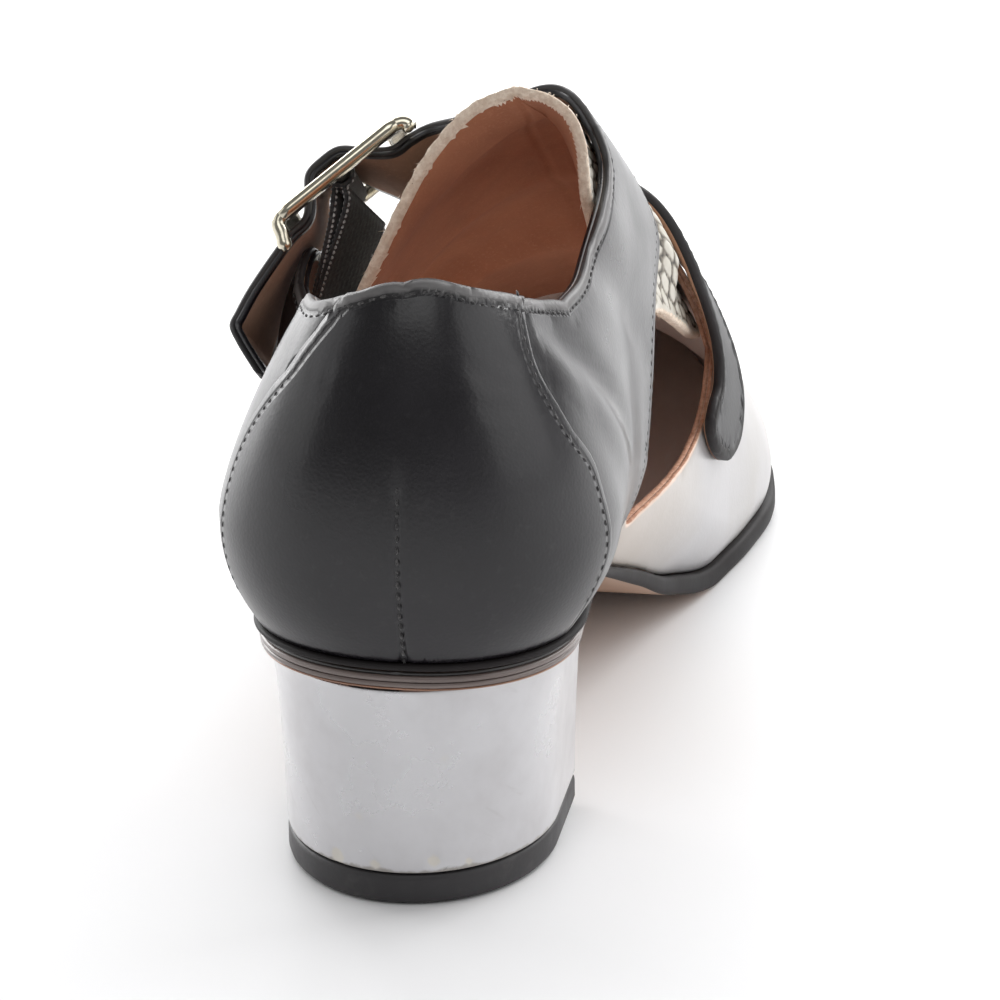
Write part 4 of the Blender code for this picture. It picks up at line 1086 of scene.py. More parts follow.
def make_upper():
    flat, faces = upper_pattern(*LEATHER_MESH)
    centre = flat[faces].mean(axis=1)
    is_counter = counter_side(centre)
    is_vamp = vamp_side(centre) & ~is_counter
    is_medial = ~is_counter & ~is_vamp & (centre[:, 0] > 0)
    black = polished_leather("counter_leather")
    black_quarter = polished_leather("quarter_leather", dark=(0.007, 0.006, 0.0075))
    orange_edge = raw_edge("orange_edge", (0.66, 0.38, 0.26), (0.44, 0.22, 0.14))
    silver = silver_leather("vamp_silver")
    collar_back = (COLLAR_MEDIAL, COLLAR_LATERAL)
    panels = (
        ("counter", is_counter, COUNTER_STEP, black, black, "upper_leather",
         (*collar_back, COUNTER_MEDIAL, COUNTER_LATERAL), collar_back, ("upper",)),
        ("quarter_medial", is_medial, 0.0, black_quarter, black_quarter, "upper_leather",
         (COLLAR_MEDIAL, STRAP_REAR_MEDIAL, QUARTER_FRONT_MEDIAL, VAMP_SEAM_MEDIAL),
         (COLLAR_MEDIAL, STRAP_REAR_MEDIAL), ()),
        ("quarter_lateral", ~is_counter & ~is_vamp & ~is_medial, 0.0, black_quarter, black_quarter, "upper_leather",
         (COLLAR_LATERAL, WING_END, QUARTER_FRONT_LATERAL, VAMP_SEAM_LATERAL),
         (COLLAR_LATERAL, WING_END, QUARTER_FRONT_LATERAL), ()),
        ("vamp", is_vamp, -VAMP_SINK, silver, orange_edge, "vamp_leather",
         (VAMP_EDGE_MEDIAL, THROAT, VAMP_EDGE_LATERAL), (VAMP_EDGE_MEDIAL, VAMP_EDGE_LATERAL), ()),
    )
    for name, chosen, level, look, edge_look, slot, edges, beads, replaced in panels:
        part, triangles = trimmed(flat, faces[chosen])
        place = on_last(part)
        rim = nearest(place, dense(*edges))[1]
        bead_away = nearest(place, dense(*beads))[1]
        stitch = np.abs(rim - STITCH_IN)
        lift = level + wing_lift(part)
        shape = lift + crease_lift(place)
        if name == "vamp":
            shape -= edge_drop(rim, VAMP_EDGE_RADIUS, VAMP_SINK)
        else:
            shape -= edge_drop(rim)
            shape += BEAD_RISE * np.exp(-((bead_away - BEAD_AT) / BEAD_WIDE) ** 2)
            shape -= PRESS_DEPTH * np.exp(-((bead_away - STITCH_IN) / PRESS_WIDE) ** 2)
        if name == "counter":
            seam_away = nearest(place, on_last(curve(BACK_SEAM, 0.3)))[1]
            shape -= SEAM_DEPTH * np.exp(-(seam_away / SEAM_WIDE) ** 2)
            stitch = np.minimum(stitch, seam_away)
        outer = lifted(part, shape)
        inner = lifted(part, wing_lift(part) - LEATHER)
        root = on_root(part) if name == "quarter_medial" else None
        points, solid, group = thick(triangles, [outer, inner], open_at=root)
        values = {"rim": np.tile(rim, 2), "stitch": np.tile(stitch, 2), "worn": np.tile(bead_away, 2)}
        if name == "vamp":
            # Painted reflection of the floor, strongest low on the sides towards the rear of the vamp
            low = smooth(FLOOR_REFLECTION_ACROSS, (0.0, 1.0), np.abs(part[:, 0])) * smooth(FLOOR_REFLECTION_ALONG, (1.0, 0.0), part[:, 1])
            values["painted_reflection"] = np.tile(FLOOR_REFLECTION * low, 2)
        looks = [look, look, edge_look]
        if name == "quarter_medial":
            rows, under, _, away = ribbon_rows(LEATHER, root_shares(), EDGE_DEPTH)
            match = nearest(root_line(), part)[0]
            rows[0], under[0] = outer[match], inner[match]
            strap_points, strap_faces, strap_group = grid_shell(rows, under, capped_start=False)
            solid = solid + shifted(strap_faces, len(points))
            group = np.concatenate([group, strap_group])
            points = np.vstack([points, strap_points])
            away = np.tile(away.reshape(-1), 2)
            for key, more in (("rim", away), ("worn", away), ("stitch", np.abs(away - STITCH_IN))):
                values[key] = np.concatenate([values[key], more])
        add_mesh(name, points, solid, looks, group, values, replaced)
    make_lining(orange_edge, polished_leather("folded_edge", rim=False))


def make_lining(raw, folded):
    """Brown lining, with the black leather folded over it along the collar, the strap and the wing."""
    part, faces = upper_pattern(*LINING_MESH)
    lift = wing_lift(part)
    upper = lifted(part, lift - LEATHER - LINING_GAP)
    lower = lifted(part, lift - WALL)
    root = on_root(part)
    points, solid, group = thick(faces, [upper, lower], open_at=root)
    folds = dense(
        COLLAR_MEDIAL, STRAP_REAR_MEDIAL, COLLAR_LATERAL, WING_END, QUARTER_FRONT_MEDIAL, QUARTER_FRONT_LATERAL
    )
    away = np.tile(nearest(on_last(part), folds)[1], 2)
    mean_away = np.array([away[list(f)].mean() for f in solid])
    group = np.where((mean_away < 0.75 * FOLD) & (group > 0), 3, group)
    centre = np.array([np.mean([part[i % len(part)] for i in f], axis=0) for f in solid])
    group = np.where(vamp_side(centre) & (group < 2), 4, group)
    rows, _, normals, edge_away = ribbon_rows(LEATHER, root_shares(), 0.0)
    top, under = rows - (LEATHER + LINING_GAP) * normals, rows - WALL * normals
    match = nearest(root_line(), part)[0]
    top[0], under[0] = upper[match], lower[match]
    strap_points, strap_faces, _ = grid_shell(top, under, capped_start=False)
    edge_away = np.tile(edge_away.reshape(-1), 2)
    strap_away = np.array([edge_away[list(f)].mean() for f in strap_faces])
    strap_group = np.where(strap_away < 0.9 * FOLD, 3, 5)
    solid = solid + shifted(strap_faces, len(points))
    group = np.concatenate([group, strap_group])
    lining = suede("upper_lining", (0.64, 0.38, 0.25), (0.48, 0.265, 0.165))
    strap_lining = suede("strap_lining", (0.4, 0.215, 0.135), (0.28, 0.14, 0.085))
    vamp_lining = plain_leather("vamp_lining", (0.92, 0.84, 0.8), (0.84, 0.74, 0.69), 0.6, streak=(0.97, 0.94, 0.92))
    looks = [lining, lining, raw, folded, vamp_lining, strap_lining]
    add_mesh("lining", np.vstack([points, strap_points]), solid, looks, group)


# Buckle axes


def buckle_axes():
    top, bottom = np.array(BUCKLE_TOP), np.array(BUCKLE_BOTTOM)
    along = (bottom - top) / np.linalg.norm(bottom - top)
    across = np.array(BUCKLE_ACROSS) - along * np.dot(BUCKLE_ACROSS, along)
    across /= np.linalg.norm(across)
    return (top + bottom) / 2, along, across, np.cross(across, along)


def buckle_point(run, side, height):
    middle, along, across, out = buckle_axes()
    return middle + run * along + side * across + height * out


# Tongue and band


def scale_relief(x, y):
    """Overlapping elongated scales: 0 on a scale's crown to 1 in the line between scales."""
    u, v = x / SCALE_WIDE, y / SCALE_LONG
    best = np.full(len(x), 9.0)
    second = np.full(len(x), 9.0)
    row = np.floor(v)
    for dr in (-1, 0, 1):
        r = row + dr
        shift = 0.5 * np.mod(r, 2)
        for dc in (-1, 0, 1):
            c = np.round(u - shift) + dc
            jitter = 0.12 * np.sin(12.9 * c + 78.2 * r)
            away = np.hypot(u - shift - c - jitter, 0.95 * (v - r - 0.5 - jitter))
            closer = away < best
            second = np.where(closer, best, np.minimum(second, away))
            best = np.where(closer, away, best)
    return 1 - np.clip((second - best) / 0.6, 0, 1)


def tongue_flare(points):
    """Rise of the tongue's rear end, which stands up behind the strap."""
    across, along = points.T
    ramp = np.clip((TONGUE_FLARE_FROM - along) / TONGUE_FLARE_RUN, 0, 1) ** 1.4
    return smooth(TONGUE_FLARE[:, 0], TONGUE_FLARE[:, 1], across) * ramp


def make_tongue():
    outline = curve(TONGUE, 0.8, closed=True)
    extra = np.vstack([inset(closed_ring(outline), side * row) for side in (1, -1) for row in TONGUE_ROWS])
    flat, faces = filled(outline, extra=extra, grid=TONGUE_GRID)
    place = on_last(flat)
    rim = nearest(place, on_last(curve(TONGUE, 0.3, closed=True)))[1]
    mid = np.zeros(len(flat))
    girth = np.sign(flat[:, 0]) * np.linalg.norm(place - last_point(mid, flat[:, 1]), axis=1)
    relief = scale_relief(girth, flat[:, 1])
    shade = np.clip((rim - 0.9) / 0.8, 0, 1)
    lumps = 0.12 * np.sin(0.9 * flat[:, 0] + 0.6 * flat[:, 1]) * np.sin(0.5 * flat[:, 1])
    under_band = smooth(*TONGUE_UNDER_BAND, flat[:, 1])
    under_band = under_band * smooth(*TONGUE_UNDER_BAND_ACROSS, np.abs(flat[:, 0]))
    level = tongue_flare(flat) - TONGUE_DEPTH + under_band
    top = level - SCALE_RELIEF * relief ** 2 * shade - edge_drop(rim, 1.6, 0.7)
    crease = on_last(curve(TONGUE_CREASE, 0.5))
    groove = TONGUE_GROOVE * np.exp(-(nearest(place, crease)[1] / TONGUE_GROOVE_WIDE) ** 2)
    low = level - TONGUE_SHOWN + edge_drop(rim, 1.8, 0.8) + groove + 0.3 * lumps * np.clip(rim / 6, 0, 1)
    outer = lifted(flat, top)
    inner = lifted(flat, low)
    rough = RANDOM.normal(0, RAW_ROUGH, len(flat))
    levels = [outer]
    for share in RAW_LEVELS:
        levels.append(outer + (inner - outer) * share + rough[:, None] * normal_on(flat))
    levels.append(inner)
    points, solid, group = thick(faces, levels)
    face_rim = rim[faces].mean(axis=1)
    count = len(faces)
    group[:count] = np.where(face_rim < RAW_OUTSIDE, 2, 0)
    group[count:2 * count] = np.where(face_rim < RAW_INSIDE, 2, 1)
    values = {"relief": np.tile(relief * shade, len(levels)), "rim": np.tile(rim, len(levels))}
    skin = snakeskin("snakeskin")
    lining = tongue_lining()
    beige = raw_edge("beige_edge", (0.92, 0.8, 0.67), (0.72, 0.58, 0.46))
    add_mesh("tongue_leather", points, solid, [skin, lining, beige], group, values, ("tongue",))
    make_fuzz(beige)


def tongue_lining():
    """Orange-brown napped lining of the tongue."""
    look = Look("tongue_lining", (0.42, 0.17, 0.085), 0.85, Sheen_Weight=0.04, Sheen_Roughness=0.5)
    cloud = look.noise(40.0, 5.0, 0.6)
    fine = look.noise(1500.0, 3.0, 0.7)
    base = look.tint((0.35, 0.132, 0.066), (0.46, 0.19, 0.1), cloud, 0.3, 0.72)
    base = look.tint(base, (0.56, 0.26, 0.145), fine, 0.5, 0.75, 0.4)
    look.colour(base)
    look.bump(fine, 0.3, 0.2)
    look.bump(look.noise(220.0, 3.0), 0.2, 0.3)
    return look.material


def make_fuzz(look):
    """Loose fibres along the tongue's raw edge, as thin three-sided spikes in one mesh."""
    line = curve(TONGUE, 0.55, closed=True)
    line = line[line[:, 1] < FIBRES_TO]
    copies = np.repeat(line, 2, axis=0) + RANDOM.normal(0, 0.2, (len(line) * 2, 2))
    level = tongue_flare(copies) - TONGUE_DEPTH
    depth = level - RANDOM.uniform(0.2, TONGUE_SHOWN - 0.2, len(copies))
    root = lifted(copies, depth)
    middle = offset_point(copies[:, 0] * 0.9, 105 + (copies[:, 1] - 105) * 0.94, depth)
    out = unit(root - middle)
    way = unit(out + RANDOM.normal(0, 0.55, out.shape))
    length = RANDOM.uniform(*FIBRE_LONG, len(root))[:, None]
    side = unit(np.cross(way, np.array([0.3, 0.2, 0.93])))
    other = np.cross(way, side)
    base = root - 0.5 * out
    corners = [base + FIBRE_THICK * (np.cos(t) * side + np.sin(t) * other) for t in (0.0, 2.094, 4.189)]
    tip = root + way * length
    points = np.stack([*corners, tip], axis=1).reshape(-1, 3)
    faces = []
    for k in range(len(root)):
        a = 4 * k
        faces += [(a, a + 1, a + 3), (a + 1, a + 2, a + 3), (a + 2, a, a + 3), (a, a + 2, a + 1)]
    add_mesh("tongue_fibres", points, faces, [look])


def band_raised(points):
    """Share of its full lift that the band has: it stands off the tongue at its rear, over the instep."""
    rear = np.clip((BAND_LIFT_FROM - points[:, 1]) / BAND_LIFT_RUN, 0, 1)
    middle = np.clip((BAND_LIFT_HALF - np.abs(points[:, 0])) / BAND_LIFT_SIDE, 0, 1)
    return rear * middle


def make_band():
    outline = curve(BAND, 0.9, closed=True)
    extra = np.vstack([inset(closed_ring(outline), d) for d in BAND_ROWS])
    flat, faces = filled(outline, extra=extra, grid=BAND_GRID)
    place = on_last(flat)
    rim = nearest(place, on_last(curve(BAND, 0.25, closed=True)))[1]
    raised = band_raised(flat)
    low = GAP + BAND_REAR_LIFT * raised
    bead = BAND_BEAD_RISE * np.exp(-((rim - BEAD_AT) / BAND_BEAD_WIDE) ** 2)
    bead = bead - BAND_PRESS_DEPTH * np.exp(-((rim - STITCH_IN) / BAND_PRESS_WIDE) ** 2)
    outer = lifted(flat, low + BAND_THICKNESS - edge_drop(rim, 0.9, 0.6) + bead)
    between = lifted(flat, low + BAND_LINING)
    inner = lifted(flat, low - BAND_LINING - BAND_LINING_REAR * raised)
    points, solid, group = thick(faces, [outer, between])
    values = {"rim": np.tile(rim, 2), "stitch": np.tile(np.abs(rim - STITCH_IN), 2), "worn": np.tile(rim, 2)}
    black = polished_leather("band_polished", worn=(0.016, 0.014, 0.014), shine_level=0.15, rough=(0.42, 0.52))
    add_mesh("band_leather", points, solid, [black] * 3, group, values, ("vamp_band",))
    points, solid, group = thick(faces, [between, inner])
    lining = suede("band_lining", (0.3, 0.15, 0.08), (0.17, 0.08, 0.045))
    add_mesh("band_lining", points, solid, [lining], np.zeros(len(group)))


# Stitches


def stitch_line(lines, pitch, length, radius):
    """Rows of raised stitches, each an arched grain of thread, along lines of places and normals."""
    turns, rows = 6, 5
    angle = np.linspace(0, 2 * np.pi, turns, endpoint=False)
    along = np.linspace(-1, 1, rows)
    swell = np.sqrt(np.clip(1.02 - along ** 2, 0.02, None))
    body = np.stack([
        np.repeat(along * length / 2, turns),
        (swell[:, None] * np.cos(angle) * radius).reshape(-1),
        (swell[:, None] * np.sin(angle) * radius * 0.8).reshape(-1) - np.repeat(along ** 2, turns) * radius * 0.7,
    ], axis=1)
    grain = tube_faces(rows, turns)
    grain += [tuple(range(turns))[::-1], tuple((rows - 1) * turns + j for j in range(turns))]
    points, faces, start = [], [], 0
    for place, normal in lines:
        run = run_along(place)
        at = np.arange(pitch / 2, run[-1], pitch)
        centre = at_run(at, run, place)
        up = unit(at_run(at, run, normal))
        way = at_run(at + 0.4, run, place) - at_run(at - 0.4, run, place)
        way = unit(way - up * (way * up).sum(axis=1, keepdims=True))
        side = np.cross(up, way)
        for c, u, w, s in zip(centre, up, way, side):
            points.append(c + body[:, :1] * w + body[:, 1:2] * s + body[:, 2:] * u)
            faces += shifted(grain, start)
            start += len(body)
    return np.vstack(points), faces


def make_stitches():
    dark = woven("black_thread", (0.09, 0.085, 0.085), (0.02, 0.019, 0.02))
    lines = []
    for line, sink in (
        (STRAP_REAR_MEDIAL, 0.05), (QUARTER_FRONT_MEDIAL, 0.1), (COLLAR_MEDIAL, 0.05), (COLLAR_LATERAL, 0.05),
        (WING_END, 0.1), (QUARTER_FRONT_LATERAL, 0.1),
    ):
        path = inset(curve(line, STITCH_STEP), -STITCH_IN)
        level = wing_lift(path) - sink + np.where(counter_side(path), COUNTER_STEP, 0.0)
        lines.append((lifted(path, level), normal_on(path)))
    for line, distance, sink in (
        (COUNTER_MEDIAL[:-1], -STITCH_IN, 0.05), (COUNTER_LATERAL[:-1], STITCH_IN, 0.05), (BACK_SEAM, 0.0, 0.3),
    ):
        path = inset(curve(line, STITCH_STEP), distance)
        lines.append((lifted(path, COUNTER_STEP - sink), normal_on(path)))
    rows, _, normals, _ = ribbon_rows(LEATHER, root_shares(), EDGE_DEPTH)
    across = rows[:, -1] - rows[:, 0]
    width = np.linalg.norm(across, axis=1)
    middle = normals[:, normals.shape[1] // 2]
    near = np.clip(STITCH_IN / width, 0, 0.5)
    wide = width > STRAP_STITCHED
    for share in (near, 1 - near):
        path = rows[:, 0] + across * share[:, None] + STRAP_STITCH_LIFT * middle
        lines.append((path[wide], middle[wide]))
    points, faces = stitch_line(lines, *UPPER_STITCH)
    add_mesh("upper_stitches", points, faces, [dark])
    path = inset(curve(BAND + BAND[:1], STITCH_STEP), STITCH_IN)
    level = GAP + BAND_REAR_LIFT * band_raised(path) + BAND_THICKNESS - 0.1
    points, faces = stitch_line([(lifted(path, level), normal_on(path))], *BAND_STITCH)
    add_mesh("band_stitches", points, faces, [dark])


# Bottom


def sole_top(y):
    return seat_height(y) - GAP


def sole_bottom(y):
    return sole_top(y) - smooth(SOLE_THICKNESS[:, 0], SOLE_THICKNESS[:, 1], y)


def heel_outline(margin, step=4.0, quarter_steps=12):
    ring = plan_outline(margin, step, quarter_steps)
    kept = ring[ring[:, 1] < HEEL_BREAST - BREAST_TRIM]
    lateral = kept[kept[:, 0] < 0]
    medial = kept[kept[:, 0] >= 0]
    lateral = lateral[np.argsort(lateral[:, 1])]
    medial = medial[np.argsort(medial[:, 1])]
    left, right = lateral[-1, 0], medial[-1, 0]
    count = max(8, int((right - left) / step))
    breast = np.column_stack([np.linspace(right, left, count), np.full(count, HEEL_BREAST)])
    return np.vstack([medial, breast, lateral[::-1]])


def edged_plate(outline, top, bottom, profile, grid):
    """Closed plate: rings stepped in by the profile's insets at its shares of the thickness, and two filled faces."""
    rings = []
    for inset_by, share in profile:
        ring = outline(-inset_by)
        upper, lower = top(ring[:, 1]), bottom(ring[:, 1])
        rings.append(np.column_stack([ring, upper + (lower - upper) * share]))
    count = len(rings[0])
    points, faces = [np.vstack(rings)], tube_faces(len(rings), count)
    group = [2] * len(faces)
    start = len(rings) * count
    for which in (0, -1):
        flat, triangles = filled(rings[which][:, :2], grid=grid)
        upper, lower = top(flat[:, 1]), bottom(flat[:, 1])
        points.append(np.column_stack([flat, upper + (lower - upper) * profile[which][1]]))
        faces += shifted(triangles, start)
        group += [abs(which)] * len(triangles)
        start += len(flat)
    return np.vstack(points), faces, np.array(group)


def add_plate(name, plate, looks, replaces=()):
    points, faces, group = plate
    add_mesh(name, points, faces, looks, group, None, replaces)


def make_bottom():
    tan = plain_leather("sole_tan", (0.42, 0.27, 0.19), (0.33, 0.2, 0.135), 0.5)
    black_edge = plain_leather("sole_edge", (0.016, 0.013, 0.0135), (0.009, 0.0075, 0.008), 0.62, shine_level=0.25)
    plate = edged_plate(lambda m: plan_outline(SOLE_EDGE + m, 1.6, 48), sole_top, sole_bottom, SOLE_PROFILE, (3.0, 3.0))
    add_plate("sole", plate, [black_edge, tan, black_edge], ("outsole",))
    sock = plain_leather("sock_leather", (0.9, 0.8, 0.755), (0.8, 0.68, 0.63), 0.6, streak=(0.97, 0.94, 0.92))
    plate = edged_plate(
        lambda m: plan_outline(m - INSOLE_MARGIN, 2.2, 36),
        lambda y: seat_height(y) + INSOLE,
        seat_height,
        SOCK_PROFILE, (3.0, 3.0),
    )
    add_plate("sock", plate, [sock] * 3, ("insole",))
    make_rand()
    make_heel()


def rand_top(y):
    return sole_bottom(y) - GAP


def rand_bottom(y):
    return rand_top(y) - RAND


def make_rand():
    """Two waxed leather layers, with a thin dark one above and a copper line below them."""
    brown = stacked("stacked_brown", (0.2, 0.158, 0.145), (0.13, 0.1, 0.09))
    dark = stacked("stacked_dark", (0.012, 0.01, 0.01), (0.006, 0.005, 0.005))
    copper = stacked("copper_line", (0.42, 0.22, 0.14), (0.26, 0.13, 0.08))
    layers = (
        ("rand_dark", 0.0, 0.22, 0.25, dark),
        ("rand_upper", 0.23, 0.56, 0.0, brown),
        ("rand_lower", 0.57, 0.86, 0.12, brown),
        ("rand_copper", 0.87, 1.0, 0.45, copper),
    )
    for k, (name, low, high, back, look) in enumerate(layers):
        profile = ((back + 0.35, 0.0), (back, 0.2), (back, 0.8), (back + 0.35, 1.0))
        plate = edged_plate(
            lambda m: heel_outline(SOLE_EDGE - RAND_INSET + m, 1.2, 48),
            lambda y, share=low: rand_top(y) + (rand_bottom(y) - rand_top(y)) * share,
            lambda y, share=high: rand_top(y) + (rand_bottom(y) - rand_top(y)) * share,
            profile, (5.0, 5.0),
        )
        add_plate(name, plate, [look] * 3, ("heel_rand",) if k == 0 else ())


def block_value(name, share):
    return smooth(HEEL_BLOCK[:, 0], HEEL_BLOCK[:, HEEL_BLOCK_COLUMNS.index(name)], share)


def block_ring(half_width, back, breast, inset_by):
    """D outline of the heel with rounded breast corners, at even steps."""
    half_width, back, breast = half_width - inset_by, back + inset_by, breast - inset_by
    depth = HEEL_ROUND_DEPTH - inset_by
    turn = np.linspace(0, np.pi, HEEL_BACK_STEPS)
    round_back = np.stack([half_width * np.cos(turn), back + depth - depth * np.sin(turn)], axis=1)
    side = np.linspace(back + depth, breast - HEEL_CORNER, 14)[1:]
    left = np.stack([np.full(len(side), -half_width), side], axis=1)
    corner = np.linspace(0, np.pi / 2, 6)[1:]
    bend = np.stack([
        -half_width + HEEL_CORNER * (1 - np.cos(corner)),
        breast - HEEL_CORNER * (1 - np.sin(corner)),
    ], axis=1)
    front = np.linspace(-half_width + HEEL_CORNER, half_width - HEEL_CORNER, 24)[1:-1]
    front = np.stack([front, np.full(len(front), breast)], axis=1)
    ring = np.vstack([round_back, left, bend, front, (bend * (-1, 1))[::-1], (left * (-1, 1))[::-1]])
    return ring + (HEEL_CENTRE_X, 0.0)


def make_heel():
    coat = metallic_coat("silver_coat")
    low = TOP_PIECE + GAP
    shares = np.concatenate([HEEL_EDGE[0][:3], np.linspace(0.04, 0.96, 34), HEEL_EDGE[0][3:]])
    insets = np.interp(shares, *HEEL_EDGE)
    rings, rims = [], []
    for share, inset_by in zip(shares, insets):
        ring = block_ring(*(block_value(name, share) for name in HEEL_BLOCK_COLUMNS[1:]), inset_by)
        high = rand_bottom(ring[:, 1]) - GAP
        rings.append(np.column_stack([ring, low + (high - low) * share]))
        rims.append(share * (high - low))
    grid = np.stack(rings)
    middle = grid.mean(axis=1, keepdims=True)
    out = unit((grid - middle) * (1, 1, 0))
    dents = np.zeros(grid.shape[:2])
    for share, turn, depth, size in NICKS:
        row = int(np.argmin(np.abs(shares - share)))
        column = int(round(turn / np.pi * (HEEL_BACK_STEPS - 1)))
        away = np.linalg.norm(grid - grid[row, column], axis=2)
        dents += depth * np.exp(-(away / size) ** 2)
    grid = grid - dents[..., None] * out
    rows, count = grid.shape[:2]
    points, faces = [grid.reshape(-1, 3)], tube_faces(rows, count)
    start = rows * count
    for row in (0, rows - 1):
        flat, triangles = filled(grid[row, :, :2], grid=(6.0, 6.0))
        height = np.full(len(flat), low) if row == 0 else rand_bottom(flat[:, 1]) - GAP
        points.append(np.column_stack([flat, height]))
        faces += shifted(triangles, start)
        start += len(flat)
    spare = start - rows * count
    values = {
        "rim": np.concatenate([np.stack(rims).reshape(-1), np.full(spare, 9.0)]),
        "nick": np.concatenate([np.clip(dents / 0.4, 0, 1).reshape(-1), np.zeros(spare)]),
    }
    add_mesh("heel_block", np.vstack(points), faces, [coat], None, values, ("heel",), sharp=40)
    black = rubber("heel_rubber")
    bottom = tuple(HEEL_BLOCK[0, 1:])
    plate = edged_plate(
        lambda m: block_ring(*bottom, -m),
        lambda y: np.full(len(y), TOP_PIECE),
        lambda y: np.zeros(len(y)),
        TOP_PIECE_PROFILE, (4.0, 4.0),
    )
    add_plate("heel_top_piece", plate, [black] * 3, ("top_piece",))


# Buckle and webbing


def rounded_rectangle(long, wide, corner, centre=0.0, steps=9):
    loop = []
    for k, (a, b) in enumerate(((1, 1), (-1, 1), (-1, -1), (1, -1))):
        for turn in np.linspace(0, np.pi / 2, steps) + k * np.pi / 2:
            along = a * (long / 2 - corner) + corner * np.cos(turn)
            across = b * (wide / 2 - corner) + corner * np.sin(turn)
            loop.append((centre + along, across))
    loop = np.array(loop)
    return even(closed_ring(loop), 0.7)[:-1]


def make_buckle():
    metal = polished_metal("nickel", (0.74, 0.69, 0.56))
    window_long = (BUCKLE_LONG - 2 * BUCKLE_BAR - BUCKLE_CENTRE_BAR) / 2
    window_wide = BUCKLE_WIDE - 2 * BUCKLE_SIDE_BAR
    window_at = (window_long + BUCKLE_CENTRE_BAR) / 2
    base = [rounded_rectangle(BUCKLE_LONG, BUCKLE_WIDE, BUCKLE_CORNER)]
    for centre in (-window_at, window_at):
        base.append(rounded_rectangle(window_long, window_wide, BUCKLE_WINDOW_CORNER, centre))

    def moved(loop, distance):
        way = np.roll(loop, -1, axis=0) - np.roll(loop, 1, axis=0)
        left = np.stack([-way[:, 1], way[:, 0]], axis=1)
        return loop + distance * left / np.linalg.norm(left, axis=1, keepdims=True)

    def loops(amount):
        return [moved(base[0], amount), moved(base[1], -amount), moved(base[2], -amount)]

    flat, faces = filled(loops(BUCKLE_ROUND)[0], holes=loops(BUCKLE_ROUND)[1:], grid=(60.0, 60.0))
    match = nearest(flat, np.vstack(loops(BUCKLE_ROUND)))[0]
    half = BUCKLE_THICKNESS / 2
    levels = []
    for turn in np.linspace(0, np.pi, 11):
        amount = BUCKLE_ROUND * (1 - np.sin(turn))
        place = np.vstack(loops(amount))[match]
        levels.append(buckle_point(place[:, :1], place[:, 1:], half * np.cos(turn)))
    points, solid, _ = thick(faces, levels)
    points, solid = [points], list(solid)
    start = len(points[0])
    for end in (-1, 1):
        for side in (-1, 1):
            curl, curl_faces = buckle_curl(end, side)
            points.append(curl)
            solid += shifted(curl_faces, start)
            start += len(curl)
    add_mesh("buckle", np.vstack(points), solid, [metal], None, None, ("buckle_frame",), sharp=50)


def buckle_curl(end, side):
    """Rounded rod that turns down at a corner of the frame, beside the strap."""
    along, across = BUCKLE_LONG / 2, side * (BUCKLE_WIDE / 2 - BUCKLE_SIDE_BAR / 2)
    drop = CURL_DROP_BOTTOM if end > 0 else CURL_DROP_TOP
    path = [
        buckle_point(end * (along - 6.0), across, 0.0),
        buckle_point(end * (along - 2.5), across, 0.15),
        buckle_point(end * (along - 0.4), across, -0.5),
        buckle_point(end * (along + 0.3), across, -0.35 * drop - 0.6),
        buckle_point(end * (along + 0.9 * (end > 0)), across, -0.7 * drop),
        buckle_point(end * (along + 1.5 * (end > 0)), across, -drop),
    ]
    path = rail(path, 4)
    way = unit(np.gradient(path, axis=0))
    _, _, across_way, _ = buckle_axes()
    other = np.cross(way, across_way)
    angle = np.linspace(0, 2 * np.pi, CURL_TURNS, endpoint=False)
    size = np.full(len(path), CURL_RADIUS)
    size[-4:] = CURL_RADIUS * np.array([1.0, 0.96, 0.8, 0.45])
    size[:3] = CURL_RADIUS * np.array([0.3, 0.7, 0.9])
    ring = np.cos(angle)[None, :, None] * across_way + np.sin(angle)[None, :, None] * other[:, None, :]
    points = (path[:, None, :] + size[:, None, None] * ring).reshape(-1, 3)
    faces = tube_faces(len(path), CURL_TURNS)
    faces.append(tuple(range(CURL_TURNS)))
    faces.append(tuple((len(path) - 1) * CURL_TURNS + j for j in range(CURL_TURNS)))
    return points, faces


def webbing_rows(at_buckle):
    near, far = WEBBING_EDGES
    rear = [offset_point(across, near, lift) for across, lift, _ in WEBBING_ON_LAST]
    front = [offset_point(across, far, lift) for across, _, lift in WEBBING_ON_LAST]
    half = (far - near) / 2
    for run, near_height, far_height in at_buckle:
        rear.append(buckle_point(run, -half, near_height))
        front.append(buckle_point(run - WEBBING_TWIST, half, far_height))
    rear, front = rail(rear, WEBBING_STEPS), rail(front, WEBBING_STEPS)
    way = np.gradient((rear + front) / 2, axis=0)
    normal = unit(np.cross(front - rear, way))
    return rear, front, normal


def ribs(count, shares, height):
    """Cross ribs on every other row, and finer ones along the webbing."""
    over = np.abs(np.sin(np.pi * np.arange(count) / 2.0))
    return height * over[:, None] + RIB_ALONG * np.abs(np.sin(np.pi * shares * RIBS_ALONG))[None, :]


